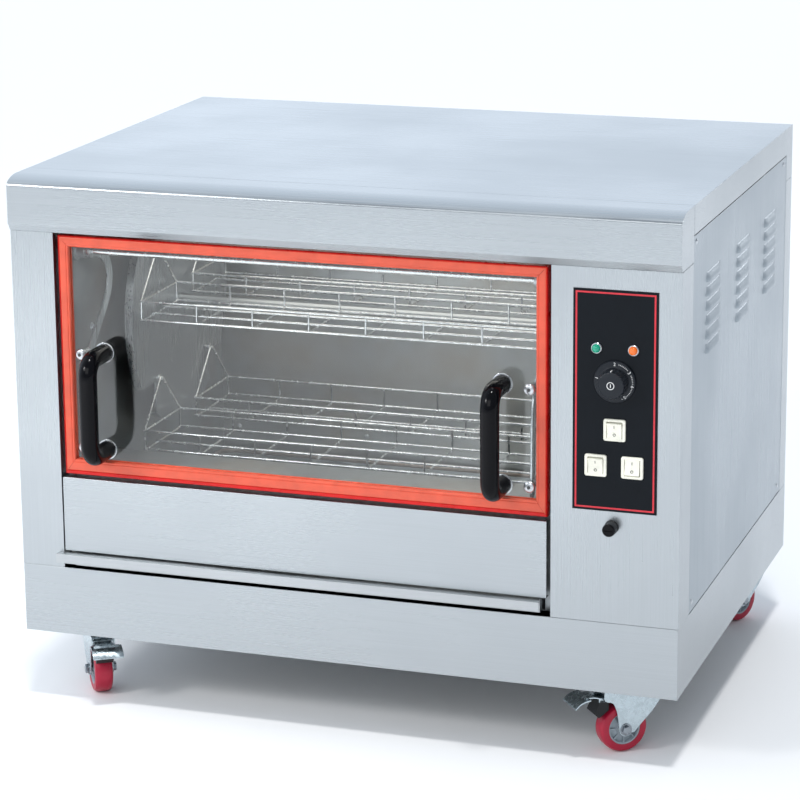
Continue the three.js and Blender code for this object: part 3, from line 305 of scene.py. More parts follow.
class Shape:
    """Points and faces gathered for one piece. Each face has the number of its material."""

    def __init__(self):
        self.points, self.faces, self.paints = [], [], []

    def add(self, points, faces, paint=0):
        start = len(self.points)
        self.points += [Vector(point) for point in points]
        self.faces += [[start + i for i in face] for face in faces]
        self.paints += [paint] * len(faces)
        return self

    def take(self, other, matrix=Matrix.Identity(4), paint=None):
        """Add another shape, placed by a matrix."""
        start = len(self.points)
        self.points += [matrix @ point for point in other.points]
        self.faces += [[start + i for i in face] for face in other.faces]
        self.paints += other.paints if paint is None else [paint] * len(other.faces)
        return self

    def loft(self, rings, paint=0, closed=False, bands=None):
        """Join rings of equal length, with caps at the ends unless the rings close on themselves.
        bands gives a material number for each edge of the ring."""
        size, count = len(rings[0]), len(rings)
        start = len(self.points)
        self.points += [Vector(point) for ring in rings for point in ring]
        for a in range(count if closed else count - 1):
            b = (a + 1) % count
            for i in range(size):
                j = (i + 1) % size
                corners = (a * size + i, a * size + j, b * size + j, b * size + i)
                self.faces.append([start + k for k in corners])
                self.paints.append(bands[i] if bands else paint)
        if not closed:
            last = start + (count - 1) * size
            self.faces += [[start + i for i in reversed(range(size))], [last + i for i in range(size)]]
            self.paints += [paint, paint]
        return self

    def turned(self, profile, origin, axis, segments=48, ripple=None, paint=0):
        """A profile of (radius, height) in millimetres turned about an axis.
        ripple scales the radius by angle."""
        up = axis.normalized()
        side = up.orthogonal().normalized()
        front = up.cross(side)
        rings = []
        for i in range(segments):
            angle = 2 * math.pi * i / segments
            out = side * math.cos(angle) + front * math.sin(angle)
            scale = ripple(angle) if ripple else 1
            rings.append([
                origin + out * (radius * scale * MM) + up * (height * MM) for radius, height in profile])
        return self.loft(rings, paint, closed=True)

    def tube(self, points, radius, sides=12, paint=0, closed=False):
        """A round bar along points."""
        points = [Vector(point) for point in points]
        count = len(points)
        normal, rings = None, []
        for i, point in enumerate(points):
            before = points[(i - 1) % count] if closed else points[max(i - 1, 0)]
            after = points[(i + 1) % count] if closed else points[min(i + 1, count - 1)]
            along = (after - before).normalized()
            normal = along.orthogonal() if normal is None else normal - along * normal.dot(along)
            normal.normalize()
            side = along.cross(normal)
            rings.append([
                point + (normal * math.cos(a) + side * math.sin(a)) * radius
                for a in (2 * math.pi * k / sides for k in range(sides))])
        return self.loft(rings, paint, closed)

    def prism(self, outline, origin, across, up, depth, paint=0, bands=None):
        """A 2-D outline in the plane of two directions, extruded by the depth vector."""
        near = [origin + across * a + up * b for a, b in outline]
        return self.loft([near, [point + depth for point in near]], paint, bands=bands)

    def block(self, low, high, paint=0):
        low, high = Vector(low), Vector(high)
        size = high - low
        corners = [(0, 0), (size.x, 0), (size.x, size.y), (0, size.y)]
        return self.prism(corners, low, X, Y, Z * size.z, paint)

    def moved(self, matrix):
        self.points = [matrix @ point for point in self.points]
        return self


def polished(mesh, bevel, segments):
    """Weld a mesh, turn its faces out and round its edges."""
    bm = bmesh.new()
    bm.from_mesh(mesh)
    bmesh.ops.remove_doubles(bm, verts=bm.verts, dist=2e-6)
    bmesh.ops.dissolve_degenerate(bm, edges=bm.edges, dist=1e-6)
    bmesh.ops.recalc_face_normals(bm, faces=bm.faces)
    if bevel:
        sharp = [e for e in bm.edges if e.is_manifold and e.calc_face_angle(0) > math.radians(32)]
        bmesh.ops.bevel(
            bm, geom=sharp, offset=bevel, segments=segments, affect="EDGES", profile=0.5, clamp_overlap=True,
            material=-1)
    for face in bm.faces:
        face.smooth = True
    bm.to_mesh(mesh)
    bm.free()
    mesh.set_sharp_from_angle(angle=math.radians(38))


def piece(name, shape, looks, body, replaces=(), bevel=0.0, segments=2, sheet=0.0):
    """Make a piece from a shape, ride it on a body and let it stand for CAD nodes.
    sheet thickens an open surface."""
    mesh = bpy.data.meshes.new(name)
    mesh.from_pydata(shape.points, [], shape.faces)
    looks = looks if isinstance(looks, list) else [looks]
    for look in looks:
        mesh.materials.append(look)
    mesh.polygons.foreach_set("material_index", shape.paints)
    polished(mesh, bevel, segments)
    made = linked(name, mesh)
    if sheet:
        thickness = made.modifiers.new("sheet", "SOLIDIFY")
        thickness.thickness = sheet
        thickness.offset = 0
    made.modifiers.new("even_shading", "WEIGHTED_NORMAL").keep_sharp = True
    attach(made, body)
    if replaces:
        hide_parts(*replaces)
    return made


def finished(node, look, bevel=0.6 * MM, segments=2):
    """Give a CAD node rounded edges, by modifiers, and a better material."""
    made = frame["nodes"][node]
    mesh = made.data
    if "custom_normal" in mesh.attributes:
        mesh.attributes.remove(mesh.attributes["custom_normal"])
    for polygon in mesh.polygons:
        polygon.use_smooth = True
    weld = made.modifiers.new("weld", "WELD")
    weld.merge_threshold = 2e-6
    flat = made.modifiers.new("flat", "DECIMATE")
    flat.decimate_type = "DISSOLVE"
    flat.angle_limit = math.radians(0.5)
    if bevel:
        edge = made.modifiers.new("edges", "BEVEL")
        edge.width = bevel
        edge.segments = segments
        edge.limit_method = "ANGLE"
        edge.angle_limit = math.radians(32)
    made.modifiers.new("even_shading", "WEIGHTED_NORMAL").keep_sharp = True
    mesh.materials.clear()
    mesh.materials.append(look)


def shape_of(helper):
    """The shape that an object has once its modifiers have run."""
    graph = bpy.context.evaluated_depsgraph_get()
    mesh = bpy.data.meshes.new_from_object(helper.evaluated_get(graph))
    return Shape().add([v.co for v in mesh.vertices], [list(p.vertices) for p in mesh.polygons])


def carved(shape, tool):
    """A shape with another cut from it."""
    made = []
    for name, part in (("carved", shape), ("tool", tool)):
        mesh = bpy.data.meshes.new(name)
        mesh.from_pydata(part.points, [], part.faces)
        polished(mesh, 0, 1)
        made.append(linked(name, mesh))
    cut = made[0].modifiers.new("cut", "BOOLEAN")
    cut.object = made[1]
    cut.operation = "DIFFERENCE"
    result = shape_of(made[0])
    for helper in made:
        bpy.data.objects.remove(helper)
    return result


def lettering(text, size):
    """Raised characters of the built-in font, in the X-Y plane, centred on the origin."""
    curve = bpy.data.curves.new("lettering", "FONT")
    curve.body = text
    curve.size = size
    curve.align_x, curve.align_y = "CENTER", "CENTER"
    curve.extrude = 0.12 * MM
    curve.resolution_u = 4
    helper = linked("lettering", curve)
    result = shape_of(helper)
    bpy.data.objects.remove(helper)
    return result


def facing(origin, normal):
    """A matrix that puts a thing made on the X-Y plane at a point, facing along a normal."""
    return Matrix.Translation(origin) @ Vector(normal).to_track_quat("Z", "Y").to_matrix().to_4x4()


# --- Fasteners ---


def cross_head():
    """A pan-head screw with a cross recess, standing on the X-Y plane."""
    head = Shape().turned([(0, -1), (4.2, -1), (4.2, 0.5), (3.6, 1.4), (2.2, 2.1), (0, 2.3)], Vector(), Z, 32)
    cross = Shape()
    for long, short in ((2.4, 0.45), (0.45, 2.4)):
        cross.block((-long * MM, -short * MM, 0.9 * MM), (long * MM, short * MM, 3 * MM))
    return carved(head, cross)


def hex_bolt(radius=6.5, height=4.5):
    """A hexagon head on a washer, standing on the X-Y plane."""
    bolt = Shape().turned(ring(0, radius * 1.25, 0, 1), Vector(), Z, 32)
    bolt.turned([(0, 1), (radius, 1), (radius, height), (radius * 0.86, height + 0.6), (0, height + 0.6)],
                Vector(), Z, 6)
    return bolt


SCREW = cross_head()


def screws(name, places, normal, body):
    """Cross-head screws at several places on one face."""
    shape = Shape()
    for place in places:
        shape.take(SCREW, facing(Vector(place), normal))
    piece(name, shape, bolt_steel, body)


# --- Cabinet ---

SHEET = 1.5 * MM
LOUVRE = {"length": 86 * MM, "height": 14 * MM, "reach": 5 * MM, "pitch": 20.6 * MM, "rows": 6}
LOUVRE_SHEET = 1 * MM  # thickness of a pressed scoop
LOUVRE_PROUD = LOUVRE["reach"] - LOUVRE_SHEET / 2 - 0.1 * MM  # of its middle surface, inside the panel's box
LOUVRE_COLUMNS = (187 * MM, 383 * MM, 574 * MM)  # behind the face of the front columns
LOUVRE_TOP = 689 * MM
SEAM = 1.4 * MM  # dark line above and below each side panel


def hood():
    """The rolled front hood: one folded sheet with a closed end on each side."""
    low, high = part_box("hood")
    face, back, bottom, top = low.y, high.y, low.z, high.z
    roll = (37 * MM, 14 * MM)
    chamfer = 11 * MM

    def profile(inset):
        centre = (face + roll[0], top - roll[1])
        radii = (roll[0] - inset, roll[1] - inset)
        return [
            (back, top - inset), *arc(centre, radii, 90, 180, 20),
            (face + inset, bottom + chamfer), (face + 7 * MM + inset * 0.6, bottom)]

    outline = profile(0) + list(reversed(profile(SHEET)))
    shape = Shape().prism(outline, Vector((low.x, 0, 0)), Y, Z, X * (high.x - low.x))
    for x in (low.x + 0.2 * MM, high.x - SHEET - 0.2 * MM):
        end = [*profile(0.3 * MM), (back, bottom)]
        shape.prism(end, Vector((x, 0, 0)), Y, Z, X * SHEET)
    piece("hood_skin", shape, steel_x, "cabinet", ["hood"], bevel=0.5 * MM)


def louvre_surface(shape, side, outside, middle_y, top):
    """One pressed scoop, open at the bottom, on the panel's outer plane."""
    columns, rows = 14, 6
    points = []
    for j in range(rows + 1):
        v = j / rows
        for i in range(columns + 1):
            u = i / columns
            ends = (1 - abs(2 * u - 1) ** 7) ** 0.8
            proud = LOUVRE_PROUD * ends * math.sin(math.pi / 2 * v) ** 1.3
            y, z = middle_y + (u - 0.5) * LOUVRE["length"], top - v * LOUVRE["height"]
            points.append((outside + side * proud, y, z))
    wide = columns + 1
    faces = [
        [j * wide + i, j * wide + i + 1, (j + 1) * wide + i + 1, (j + 1) * wide + i]
        for j in range(rows) for i in range(columns)]
    shape.add(points, faces)


def side_panel(name, side):
    """A side panel with three columns of pressed louvres, and its corner screws."""
    low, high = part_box(f"{name}_side_panel")
    outside = (high.x if side > 0 else low.x) - side * LOUVRE["reach"]
    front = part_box("left_front_column")[0].y
    tops = [LOUVRE_TOP - row * LOUVRE["pitch"] for row in range(LOUVRE["rows"])]
    middles = [front + column for column in LOUVRE_COLUMNS]
    low.z, high.z = low.z + SEAM, high.z - SEAM
    ys = sorted([low.y, high.y] + [y + s * LOUVRE["length"] / 2 for y in middles for s in (-1, 1)])
    zs = sorted([low.z, high.z] + [z for top in tops for z in (top, top - LOUVRE["height"])])
    shape, scoops = Shape(), Shape()
    for i, (y0, y1) in enumerate(zip(ys, ys[1:])):
        for j, (z0, z1) in enumerate(zip(zs, zs[1:])):
            if not (i % 2 and j % 2):
                corners = [(outside, y, z) for y, z in ((y0, z0), (y1, z0), (y1, z1), (y0, z1))]
                shape.add(corners, [[0, 1, 2, 3]])
    for y in middles:
        for top in tops:
            louvre_surface(scoops, side, outside, y, top)
    node = [f"{name}_side_panel"]
    piece(f"{name}_panel_sheet", shape, panel_steel, "cabinet", node, sheet=1.2 * MM)
    piece(f"{name}_louvres", scoops, panel_steel, "cabinet", node, sheet=LOUVRE_SHEET)
    ys, zs = (low.y + 13 * MM, high.y - 20 * MM), (low.z + 14 * MM, high.z - 9 * MM)
    screws(f"{name}_panel_screws", [(outside, y, z) for y in ys for z in zs], (side, 0, 0), "cabinet")


def cabinet():
    hood()
    side_panel("left", -1)
    side_panel("right", 1)
    for node in ("plinth_frame", "lid", "apron_panel"):
        finished(node, steel_x, bevel=1.1 * MM)
    for node in ("left_front_column", "right_front_column", "left_rear_post", "right_rear_post"):
        finished(node, steel_z, bevel=0.9 * MM)
    finished("rear_panel", steel_x)
    # The base pan takes the darker liner copy: painted shade.
    finished("base_pan", liner_painted_shade)
    low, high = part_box("rear_panel")
    edge, mid = 12 * MM, 0.33
    xs = [low.x + edge, low.x + (high.x - low.x) * mid, high.x - (high.x - low.x) * mid, high.x - edge]
    places = [(x, high.y, z) for x in xs for z in (low.z + edge, high.z - edge)]
    screws("rear_panel_screws", places, (0, 1, 0), "cabinet")


def cable_gland():
    """A ribbed gland with a hexagon nut."""
    centre = middle("cable_gland")
    face = Vector((centre.x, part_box("rear_panel")[1].y + 0.4 * MM, centre.z))
    reach = (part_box("cable_gland")[1].y - face.y) / MM
    shape = Shape().turned(
        [(4, -15), (9.6, -15), (9.6, 0), (13, 0), (13.8, 1), (13.8, 3.5), (12.5, 4.5), (4, 4.5)], face, Y, 40)
    shape.turned(ring(4, 12.6, 4.6, 8), face, Y, 6)
    cap = [(4, 8.1), (11.5, 8.1), (11.3, 11), (9, reach - 0.8), (8, reach), (4.6, reach), (4, reach - 1)]
    shape.turned(cap, face, Y, 72, ripple=lambda a: 1 + 0.02 * math.cos(18 * a))
    shape.turned(ring(9.8, 13, -6, -2.4), face, Y, 6)
    piece("ribbed_gland", shape, black_matte, "cabinet", ["cable_gland"], bevel=0.3 * MM)


# --- Cavity ---

WALL_BOLTS = {"behind": 40 * MM, "heights": (560 * MM, 440 * MM)}  # behind the door's hinge line


def collar(shape, centre, axis, bore, outer, length):
    """A turned collar with a flange, standing on a wall."""
    shape.turned(
        [(bore, 0.1), (outer + 4, 0.1), (outer + 4, 2), (outer + 0.5, 2.6), (outer + 0.5, length - 0.8),
         (outer - 0.4, length), (bore, length)], centre, axis, 40)


def heater(name):
    """A smooth hairpin element with a gland at each end."""
    low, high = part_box(name)
    radius = (high.z - low.z) / 2
    z = middle(name).z
    near, far, turn = low.y + radius, high.y - radius, low.x + radius
    corners = [(high.x, near, z), (turn, near, z), (turn, far, z), (high.x, far, z)]
    shape = Shape().tube(rounded(corners, 34 * MM, 10), radius, 16)
    gland = [(4, -12), (8, -12), (8, -2), (11, -2), (11, 0), (4, 0)]
    for y in (near, far):
        shape.turned(gland, Vector((high.x, y, z)), X, 32, paint=1)
    piece(f"{name}_element", shape, [sheath, bolt_steel], "cabinet", [name])


def oven_lamp():
    """A ribbed glass dome in a screwed ring, with its bulb."""
    base = middle("oven_lamp")
    base.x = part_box("oven_lamp")[1].x
    dome = [(0, 26.6), (6, 26), (11, 23.5), (15, 19), (17.2, 12), (17.6, 6), (16.2, 6), (15.6, 12),
            (13.4, 18), (9.8, 21.8), (5, 24.2), (0, 24.6)]
    glass = Shape().turned(dome, base, -X, 60, ripple=lambda a: 1 + 0.015 * math.cos(20 * a))
    cover = piece("lamp_dome", glass, clear_glass, "cabinet", ["oven_lamp"])
    cover.visible_shadow = False
    rim = [(16.6, 0), (24, 0), (24, 3.4), (22.5, 5.4), (18.2, 6.2), (16.6, 5)]
    piece("lamp_ring", Shape().turned(rim, base, -X, 60), bolt_steel, "cabinet")
    bulb = [(0, 19), (4, 18), (6.4, 14.5), (6.8, 11), (4.6, 7), (4.6, 0.5), (0, 0.5)]
    piece("lamp_bulb", Shape().turned(bulb, base, -X, 32), white_ink, "cabinet")


def cavity():
    # The side walls and roof take the darker liner copy: painted shade.
    for node in ("cavity_left_wall", "cavity_right_wall"):
        finished(node, liner_painted_shade, bevel=0.5 * MM)
    finished("cavity_back", light_liner)
    finished("cavity_roof", liner_painted_shade)
    finished("front_sill", light_liner)
    finished("gear_motor", motor_paint, bevel=2 * MM)
    finished("thermostat", grey_plastic, bevel=0.8 * MM)
    heater("upper_heater")
    heater("lower_heater")
    oven_lamp()
    hinge, rotor_axis = pivot("door_hinge"), pivot("rotor_spin")
    low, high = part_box("cavity_back")
    collars, bolts = Shape(), Shape()
    for x, inward in ((low.x + SHEET, X), (high.x - SHEET, -X)):
        collar(collars, Vector((x, hinge.y, hinge.z)), inward, 5.2, 11.2, 16)
        collar(collars, Vector((x, rotor_axis.y, rotor_axis.z)), inward, 9.2, 17.2, 16)
        for z in WALL_BOLTS["heights"]:
            bolts.take(hex_bolt(4.2, 2.6), facing(Vector((x, hinge.y + WALL_BOLTS["behind"], z)), inward))
    piece("shaft_collars", collars, satin_x, "cabinet")
    piece("wall_bolts", bolts, bolt_steel, "cabinet")
    xs = [low.x + (high.x - low.x) * share for share in (0.04, 0.35, 0.65, 0.96)]
    places = [(x, low.y, z) for x in xs for z in (low.z + 60 * MM, high.z - 25 * MM)]
    screws("cavity_back_screws", places, (0, -1, 0), "cabinet")


# --- Controls ---


def border_line():
    """The printed line round the control plate, as a thin raised film."""
    low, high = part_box("control_plate")
    inset, width, thickness = 3.4 * MM, 2.4 * MM, 0.12 * MM

    def corners(edge):
        x0, x1, z0, z1 = low.x + edge, high.x - edge, low.z + edge, high.z - edge
        return [(x0, z0), (x1, z0), (x1, z1), (x0, z1)]

    shape, outer, inner = Shape(), corners(inset), corners(inset + width)
    for a in range(4):
        b = (a + 1) % 4
        strip = [outer[a], outer[b], inner[b], inner[a]]
        shape.prism(strip, Vector((0, low.y - thickness, 0)), X, Z, Y * thickness)
    piece("control_plate_line", shape, red_ink, "cabinet")


def pilot_light(node, look):
    """A domed lens in a thin bezel."""
    reach = 7.4
    face = middle(node)
    face.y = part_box(node)[0].y + reach * MM
    dome = [(0, -15), (5.3, -15), (5.3, 0.3), (6.2, 0.3), (6.2, 2.4), (5.8, 4.6), (4.6, 6.2), (2.6, 7.1),
            (0, reach)]
    bezel = [(6.3, 0), (7.6, 0), (7.6, 1.6), (7.0, 2.3), (6.3, 2.3)]
    shape = Shape().turned(dome, face, -Y, 40).turned(bezel, face, -Y, 40, paint=1)
    piece(f"{node}_lens", shape, [look, bolt_steel], "cabinet", [node])


def knob():
    """A fluted knob on a numbered skirt, with a ringed cap and a pointer."""
    low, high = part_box("temperature_knob")
    centre = middle("temperature_knob")
    centre.y = high.y
    height = (high.y - low.y) / MM
    skirt = [(3.3, 0), (29.5, 0), (29.5, 1.6), (28.8, 2.6), (21.6, 4.0), (20.8, 4.9), (12, 4.9), (12, 3),
             (3.3, 3)]
    shape = Shape().turned(skirt, centre, -Y, 96)
    flutes = 24
    grip = [(3.3, 3.2), (20.4, 5), (19.9, height - 3), (18.9, height - 0.9), (17.4, height - 0.2),
            (16.6, height - 0.6), (3.3, height - 0.6)]
    shape.turned(grip, centre, -Y, flutes * 8, ripple=lambda a: 1 - 0.022 * (1 + math.cos(flutes * a)))
    cap = [(0, height - 3), (15.9, height - 3), (15.9, height - 0.7), (15.2, height - 0.3), (0, height - 0.3)]
    shape.turned(cap, centre, -Y, 64)
    shape.turned(ring(4.4, 5.4, height - 0.4, height), centre, -Y, 48, paint=1)
    shape.take(block_about(1.1, 0.5, 5), Matrix.Translation(centre - Y * (height - 0.25) * MM), paint=1)
    pointer = block_about(1.2, 9, 1.0)
    shape.take(pointer, Matrix.Translation(centre + Vector((0, 5 - height, 19.9)) * MM), paint=1)
    slant = math.atan2(1.4, 7.2)

    def on_skirt(degrees, radius, drop):
        """A place on the sloping skirt, at an angle from the top and a radius from the axis."""
        around = Matrix.Translation(centre) @ Matrix.Rotation(math.radians(degrees), 4, "Y")
        spot = Matrix.Translation(Vector((0, -drop, radius)) * MM)
        return around @ spot @ Matrix.Rotation(math.pi / 2 - slant, 4, "X")

    numbers = dict(zip("12345", (-80, 0, 55, 100, 145)))
    for number, degrees in numbers.items():
        shape.take(lettering(number, 6.5 * MM), on_skirt(degrees, 25.1, 3.35), paint=1)
    for i in range(28):
        degrees = 14 + i * 5.2
        if min(abs(degrees - at) for at in numbers.values()) > 6:
            shape.take(block_about(0.7, 1.6, 0.24), on_skirt(degrees, 25.6, 3.28), paint=1)
    piece("temperature_dial", shape, [knob_black, white_ink], "temperature_knob", ["temperature_knob"])


def block_about(width, depth, height):
    """A small block centred on the origin, sizes in millimetres."""
    half = Vector((width, depth, height)) * (MM / 2)
    return Shape().block(-half, half)


def rounded_rectangle(width, height, radius, y, centre):
    """Points round a rectangle that faces the front, its corners rounded. Sizes are in millimetres."""
    points = []
    for turn, (a, b) in enumerate(((1, 1), (-1, 1), (-1, -1), (1, -1))):
        corner = (a * (width / 2 - radius), b * (height / 2 - radius))
        points += arc(corner, (radius, radius), 90 * turn, 90 * turn + 90, 6)
    return [centre + Vector((x, y, z)) * MM for x, z in points]


def switch_frame(name):
    """A bezel with rounded corners round the rocker, and the switch body behind the plate."""
    node = f"{name}_switch_frame"
    front, back = (corner.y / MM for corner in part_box(node))
    centre = middle(node)
    centre.y = 0
    bezel = [
        (31.4, 31.4, 3.2, 2.9), (31.4, 31.4, 3.2, 1.2), (30.2, 30.2, 2.6, 0.25), (28.6, 28.6, 1.8, 0),
        (22.8, 23.8, 0.8, 0.5), (22.2, 23.2, 0.5, 1.5), (22.2, 23.2, 0.5, 2.9)]
    rings = [rounded_rectangle(*size, front + depth, centre) for *size, depth in bezel]
    shape = Shape().loft(rings, closed=True)
    shape.loft([rounded_rectangle(27, 28, 1, y, centre) for y in (front + 13, back)])
    piece(f"{name}_switch_bezel", shape, cream, "cabinet", [node])


def rocker(name):
    """A rocker with a hollowed face and its two printed marks."""
    joint = joints[f"{name}_rocker_tilt"]
    tilt = math.radians(-7 * joint["axis"][0])
    width, half = 21 * MM, 11 * MM
    face = [(-8.5 + 2 * math.cos(t * math.pi / 2), t * 11) for t in (i / 8 - 1 for i in range(17))]
    outline = [(d * MM, h * MM) for d, h in face] + [(1 * MM, half), (5 * MM, 0), (1 * MM, -half)]
    body = Shape().prism(outline, Vector((-width / 2, 0, 0)), Y, Z, X * width)
    place = Matrix.Translation(Vector(joint["pos_m"])) @ Matrix.Rotation(tilt, 4, "X")
    node = f"{name}_rocker"
    piece(f"{node}_cap", body.moved(place), cream, node, [node], bevel=0.7 * MM, segments=3)
    bar = [(x * 0.35 * MM, z * 1.9 * MM) for x, z in ((-1, -1), (1, -1), (1, 1), (-1, 1))]
    marks = Shape().prism(bar, Vector((0, -7.62 * MM, 6 * MM)), X, Z, -Y * 0.25 * MM)
    marks.turned(ring(1.5, 2.1, -0.2, 0.25), Vector((0, -7.45 * MM, -5.6 * MM)), -Y, 24)
    piece(f"{node}_marks", marks.moved(place), dark_ink_and_painted_shade, node)


def fuse():
    """A knurled cap with a coin slot on a collar with a round flange."""
    face = middle("fuse_cap")
    face.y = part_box("right_front_column")[0].y
    reach = (face.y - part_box("fuse_cap")[0].y) / MM
    body = [(0, -29), (5.8, -29), (5.8, 0.6), (10, 0.6), (10, 2.6), (9.4, 3.3), (5.8, 3.3), (5.8, 8), (0, 8)]
    holder = Shape().turned(body, face, -Y, 40)
    piece("fuse_body", holder, black_matte, "cabinet", ["fuse_holder"])
    hollow = [(7, 4.2), (9.5, 4.2), (9.5, reach - 2.4), (8.6, reach - 0.5), (7.6, reach), (0, reach), (0, 10),
              (7, 10)]
    cap = Shape().turned(hollow, face, -Y, 120, ripple=lambda a: 1 - 0.02 * (1 + math.cos(30 * a)))
    coin = [face + Vector(corner) * MM for corner in ((-6, -reach - 1, -0.9), (6, -reach + 1.5, 0.9))]
    slot = Shape().block(*coin)
    piece("fuse_cap_knurled", carved(cap, slot), black_gloss, "fuse_cap", ["fuse_cap"])


def controls():
    finished("control_plate", panel_black, bevel=0.25 * MM)
    border_line()
    pilot_light("power_light", green_lens)
    pilot_light("heat_light", orange_lens)
    knob()
    for name in ("heat", "turn", "lamp"):
        switch_frame(name)
        rocker(name)
    fuse()


# --- Door ---

SEAL_SIDE = 16.5 * MM  # width of the top and side strips
SEAL_FOOT = 22.5 * MM  # width of the bottom strip
SEAL_GROOVE = {"front": 6.6 * MM, "back": 12.4 * MM, "rim": 3.6 * MM}  # it holds the edge of the glass
MITRE_GAP = 0.25 * MM
STANDOFF_HEIGHTS = (397 * MM, 538 * MM)


def seal_section(width, bead):
    """A strip's section as (inwards, backwards) points, from its outer bead to the lip on the glass."""
    low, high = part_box("door_seal")
    depth = high.y - low.y
    front, back, rim = (SEAL_GROOVE[name] for name in ("front", "back", "rim"))
    return [
        (0, depth), (0, 2.2 * MM), (0.7 * MM, 0.7 * MM), (bead * 0.5, 0.1 * MM), (bead - 0.3 * MM, 0.8 * MM),
        (bead, 1.5 * MM), (bead + 0.5 * MM, 0.7 * MM), (bead + 1.6 * MM, 0.25 * MM), (width * 0.6, 0),
        (width - 4.2 * MM, 0.3 * MM), (width - 3.6 * MM, 1.1 * MM), (width - 2.8 * MM, 0.5 * MM),
        (width - 1.2 * MM, 0.5 * MM), (width, 1.8 * MM), (width, front), (rim, front), (rim, back),
        (width, back), (width, depth - 1 * MM), (width - 1 * MM, depth)]


def seal_strip(name, corner, along, inward, length, width, neighbours, bead=2.4 * MM):
    """One strip of the seal, mitred to its neighbours' widths. bead is the width of its outer red edge."""
    section = seal_section(width, bead)
    ends = []
    for at, sign, neighbour in zip((0, length), (1, -1), neighbours):
        slope = neighbour / width
        ends.append([
            corner + along * (at + sign * (w * slope + MITRE_GAP)) + inward * w + Y * d for w, d in section])
    bands = [int(max(a[0], b[0]) <= bead) for a, b in zip(section, section[1:] + section[:1])]
    piece(name, Shape().loft(ends, bands=bands), [red_seal, red_bead], "door", ["door_seal"])


def seal():
    low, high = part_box("door_seal")
    wide, tall = high.x - low.x, high.z - low.z
    seal_strip("seal_bottom", low, X, Z, wide, SEAL_FOOT, (SEAL_SIDE, SEAL_SIDE), bead=6 * MM)
    seal_strip("seal_top", Vector((low.x, low.y, high.z)), X, -Z, wide, SEAL_SIDE, (SEAL_SIDE, SEAL_SIDE))
    for name, x, inward in (("seal_left", low.x, X), ("seal_right", high.x, -X)):
        seal_strip(name, Vector((x, low.y, low.z)), Z, inward, tall, SEAL_SIDE, (SEAL_FOOT, SEAL_SIDE))


def handle(name):
    """A round bar handle with its two steel washers on the glass."""
    low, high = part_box(name)
    radius = (high.x - low.x) / 2
    x = middle(name).x
    foot, grip = high.y - 2.8 * MM, low.y + radius
    bottom, top = low.z + radius, high.z - radius
    corners = [(x, foot, bottom), (x, grip, bottom), (x, grip, top), (x, foot, top)]
    shape = Shape().tube(rounded(corners, 27 * MM, 12), radius, 32)
    piece(f"{name}_bar", shape, black_gloss, "door", [name], bevel=0.6 * MM)
    outer = [(0, 0.1), (14.6, 0.1), (15, 0.5), (15, 2.3), (14.4, 2.7), (0, 2.7)]
    inner = ring(0, 12, 0.2, 1.8)
    glass_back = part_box("door_glass")[1].y
    washers = Shape()
    for z in (bottom, top):
        washers.turned(outer, Vector((x, high.y, z)), -Y, 48)
        washers.turned(inner, Vector((x, glass_back, z)), Y, 40)
        washers.take(SCREW, facing(Vector((x, glass_back + 1.7 * MM, z)), Y))
    piece(f"{name}_washers", washers, bolt_steel, "door")


# The swan neck as (backwards, upwards) points from the hinge, in millimetres.
ARM_LINE = [(0, 0), (22, -5), (42, -14), (59, -28), (66, -47), (62, -68), (48, -88), (20, -116), (-8, -146),
            (-22, -172), (-27, -205), (-28, -250), (-29, -299)]


def arm(name):
    """A swan-necked flat arm with its hub, and its two stand-offs and fixings on the glass."""
    hinge = pivot("door_hinge")
    x = middle(name).x
    thick = 3 * MM
    line = smooth(ARM_LINE, 4)
    width = 8  # half of the blade's, in millimetres
    left, right = [], []
    for i, (y, z) in enumerate(line):
        before, after = line[max(i - 1, 0)], line[min(i + 1, len(line) - 1)]
        along = Vector((after[0] - before[0], after[1] - before[1])).normalized()
        left.append(((y - along.y * width) * MM, (z + along.x * width) * MM))
        right.append(((y + along.y * width) * MM, (z - along.x * width) * MM))
    tip = arc((line[-1][0] * MM, line[-1][1] * MM), (width * MM, width * MM), 0, -180, 8)
    origin = Vector((x - thick / 2, hinge.y, hinge.z))
    shape = Shape().prism(left + list(reversed(tip[1:-1])) + right[::-1], origin, Y, Z, X * thick)
    shape.turned(ring(5.3, 11, -4, 4), Vector((x, hinge.y, hinge.z)), X, 40)
    glass_front, glass_back = (corner.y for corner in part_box("door_glass"))
    standoff = [(0, 0.3), (7.4, 0.3), (7.4, 3), (5.6, 4), (5.6, 20), (0, 20)]
    caps = Shape()
    for z in STANDOFF_HEIGHTS:
        shape.turned(standoff, Vector((x, glass_back, z)), Y, 32)
        front = Vector((x, glass_front, z))
        caps.turned([(0, 0.1), (8.4, 0.1), (8.4, 1), (7.4, 2.6), (5, 3.8), (0, 4.2)], front, -Y, 40)
        # The dark hexagon on top of each cap is painted shade standing for a hex socket, which is not cut in.
        caps.turned(ring(0, 2.8, 3.9, 4.5), front, -Y, 6, paint=1)
    piece(f"{name}_blade", shape, satin_z, "door", [name], bevel=0.45 * MM)
    piece(f"{name}_fixings", caps, [bolt_steel, dark_ink_and_painted_shade], "door")


def door():
    seal()
    low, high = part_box("door_glass")
    glass = piece("glass_pane", Shape().block(low, high), clear_glass, "door", ["door_glass"],
                  bevel=0.8 * MM)
    glass.visible_shadow = False
    handle("left_handle")
    handle("right_handle")
    arm("left_door_arm")
    arm("right_door_arm")
    low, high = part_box("door_shaft")
    start = pivot("door_hinge")
    start.x = low.x
    shape = Shape().turned(rod(5, (high.x - low.x) / MM, 0.6), start, X, 32)
    piece("hinge_rod", shape, wire_steel, "door", ["door_shaft"])


# --- Rotor and baskets ---

NOTCH = 107 * MM  # corner of each notch from the rotor's axis, both ways
BASKET_RIM = 66 * MM  # below its pins
BASKET_PINS = 14.5 * MM  # how far they stick out of each end


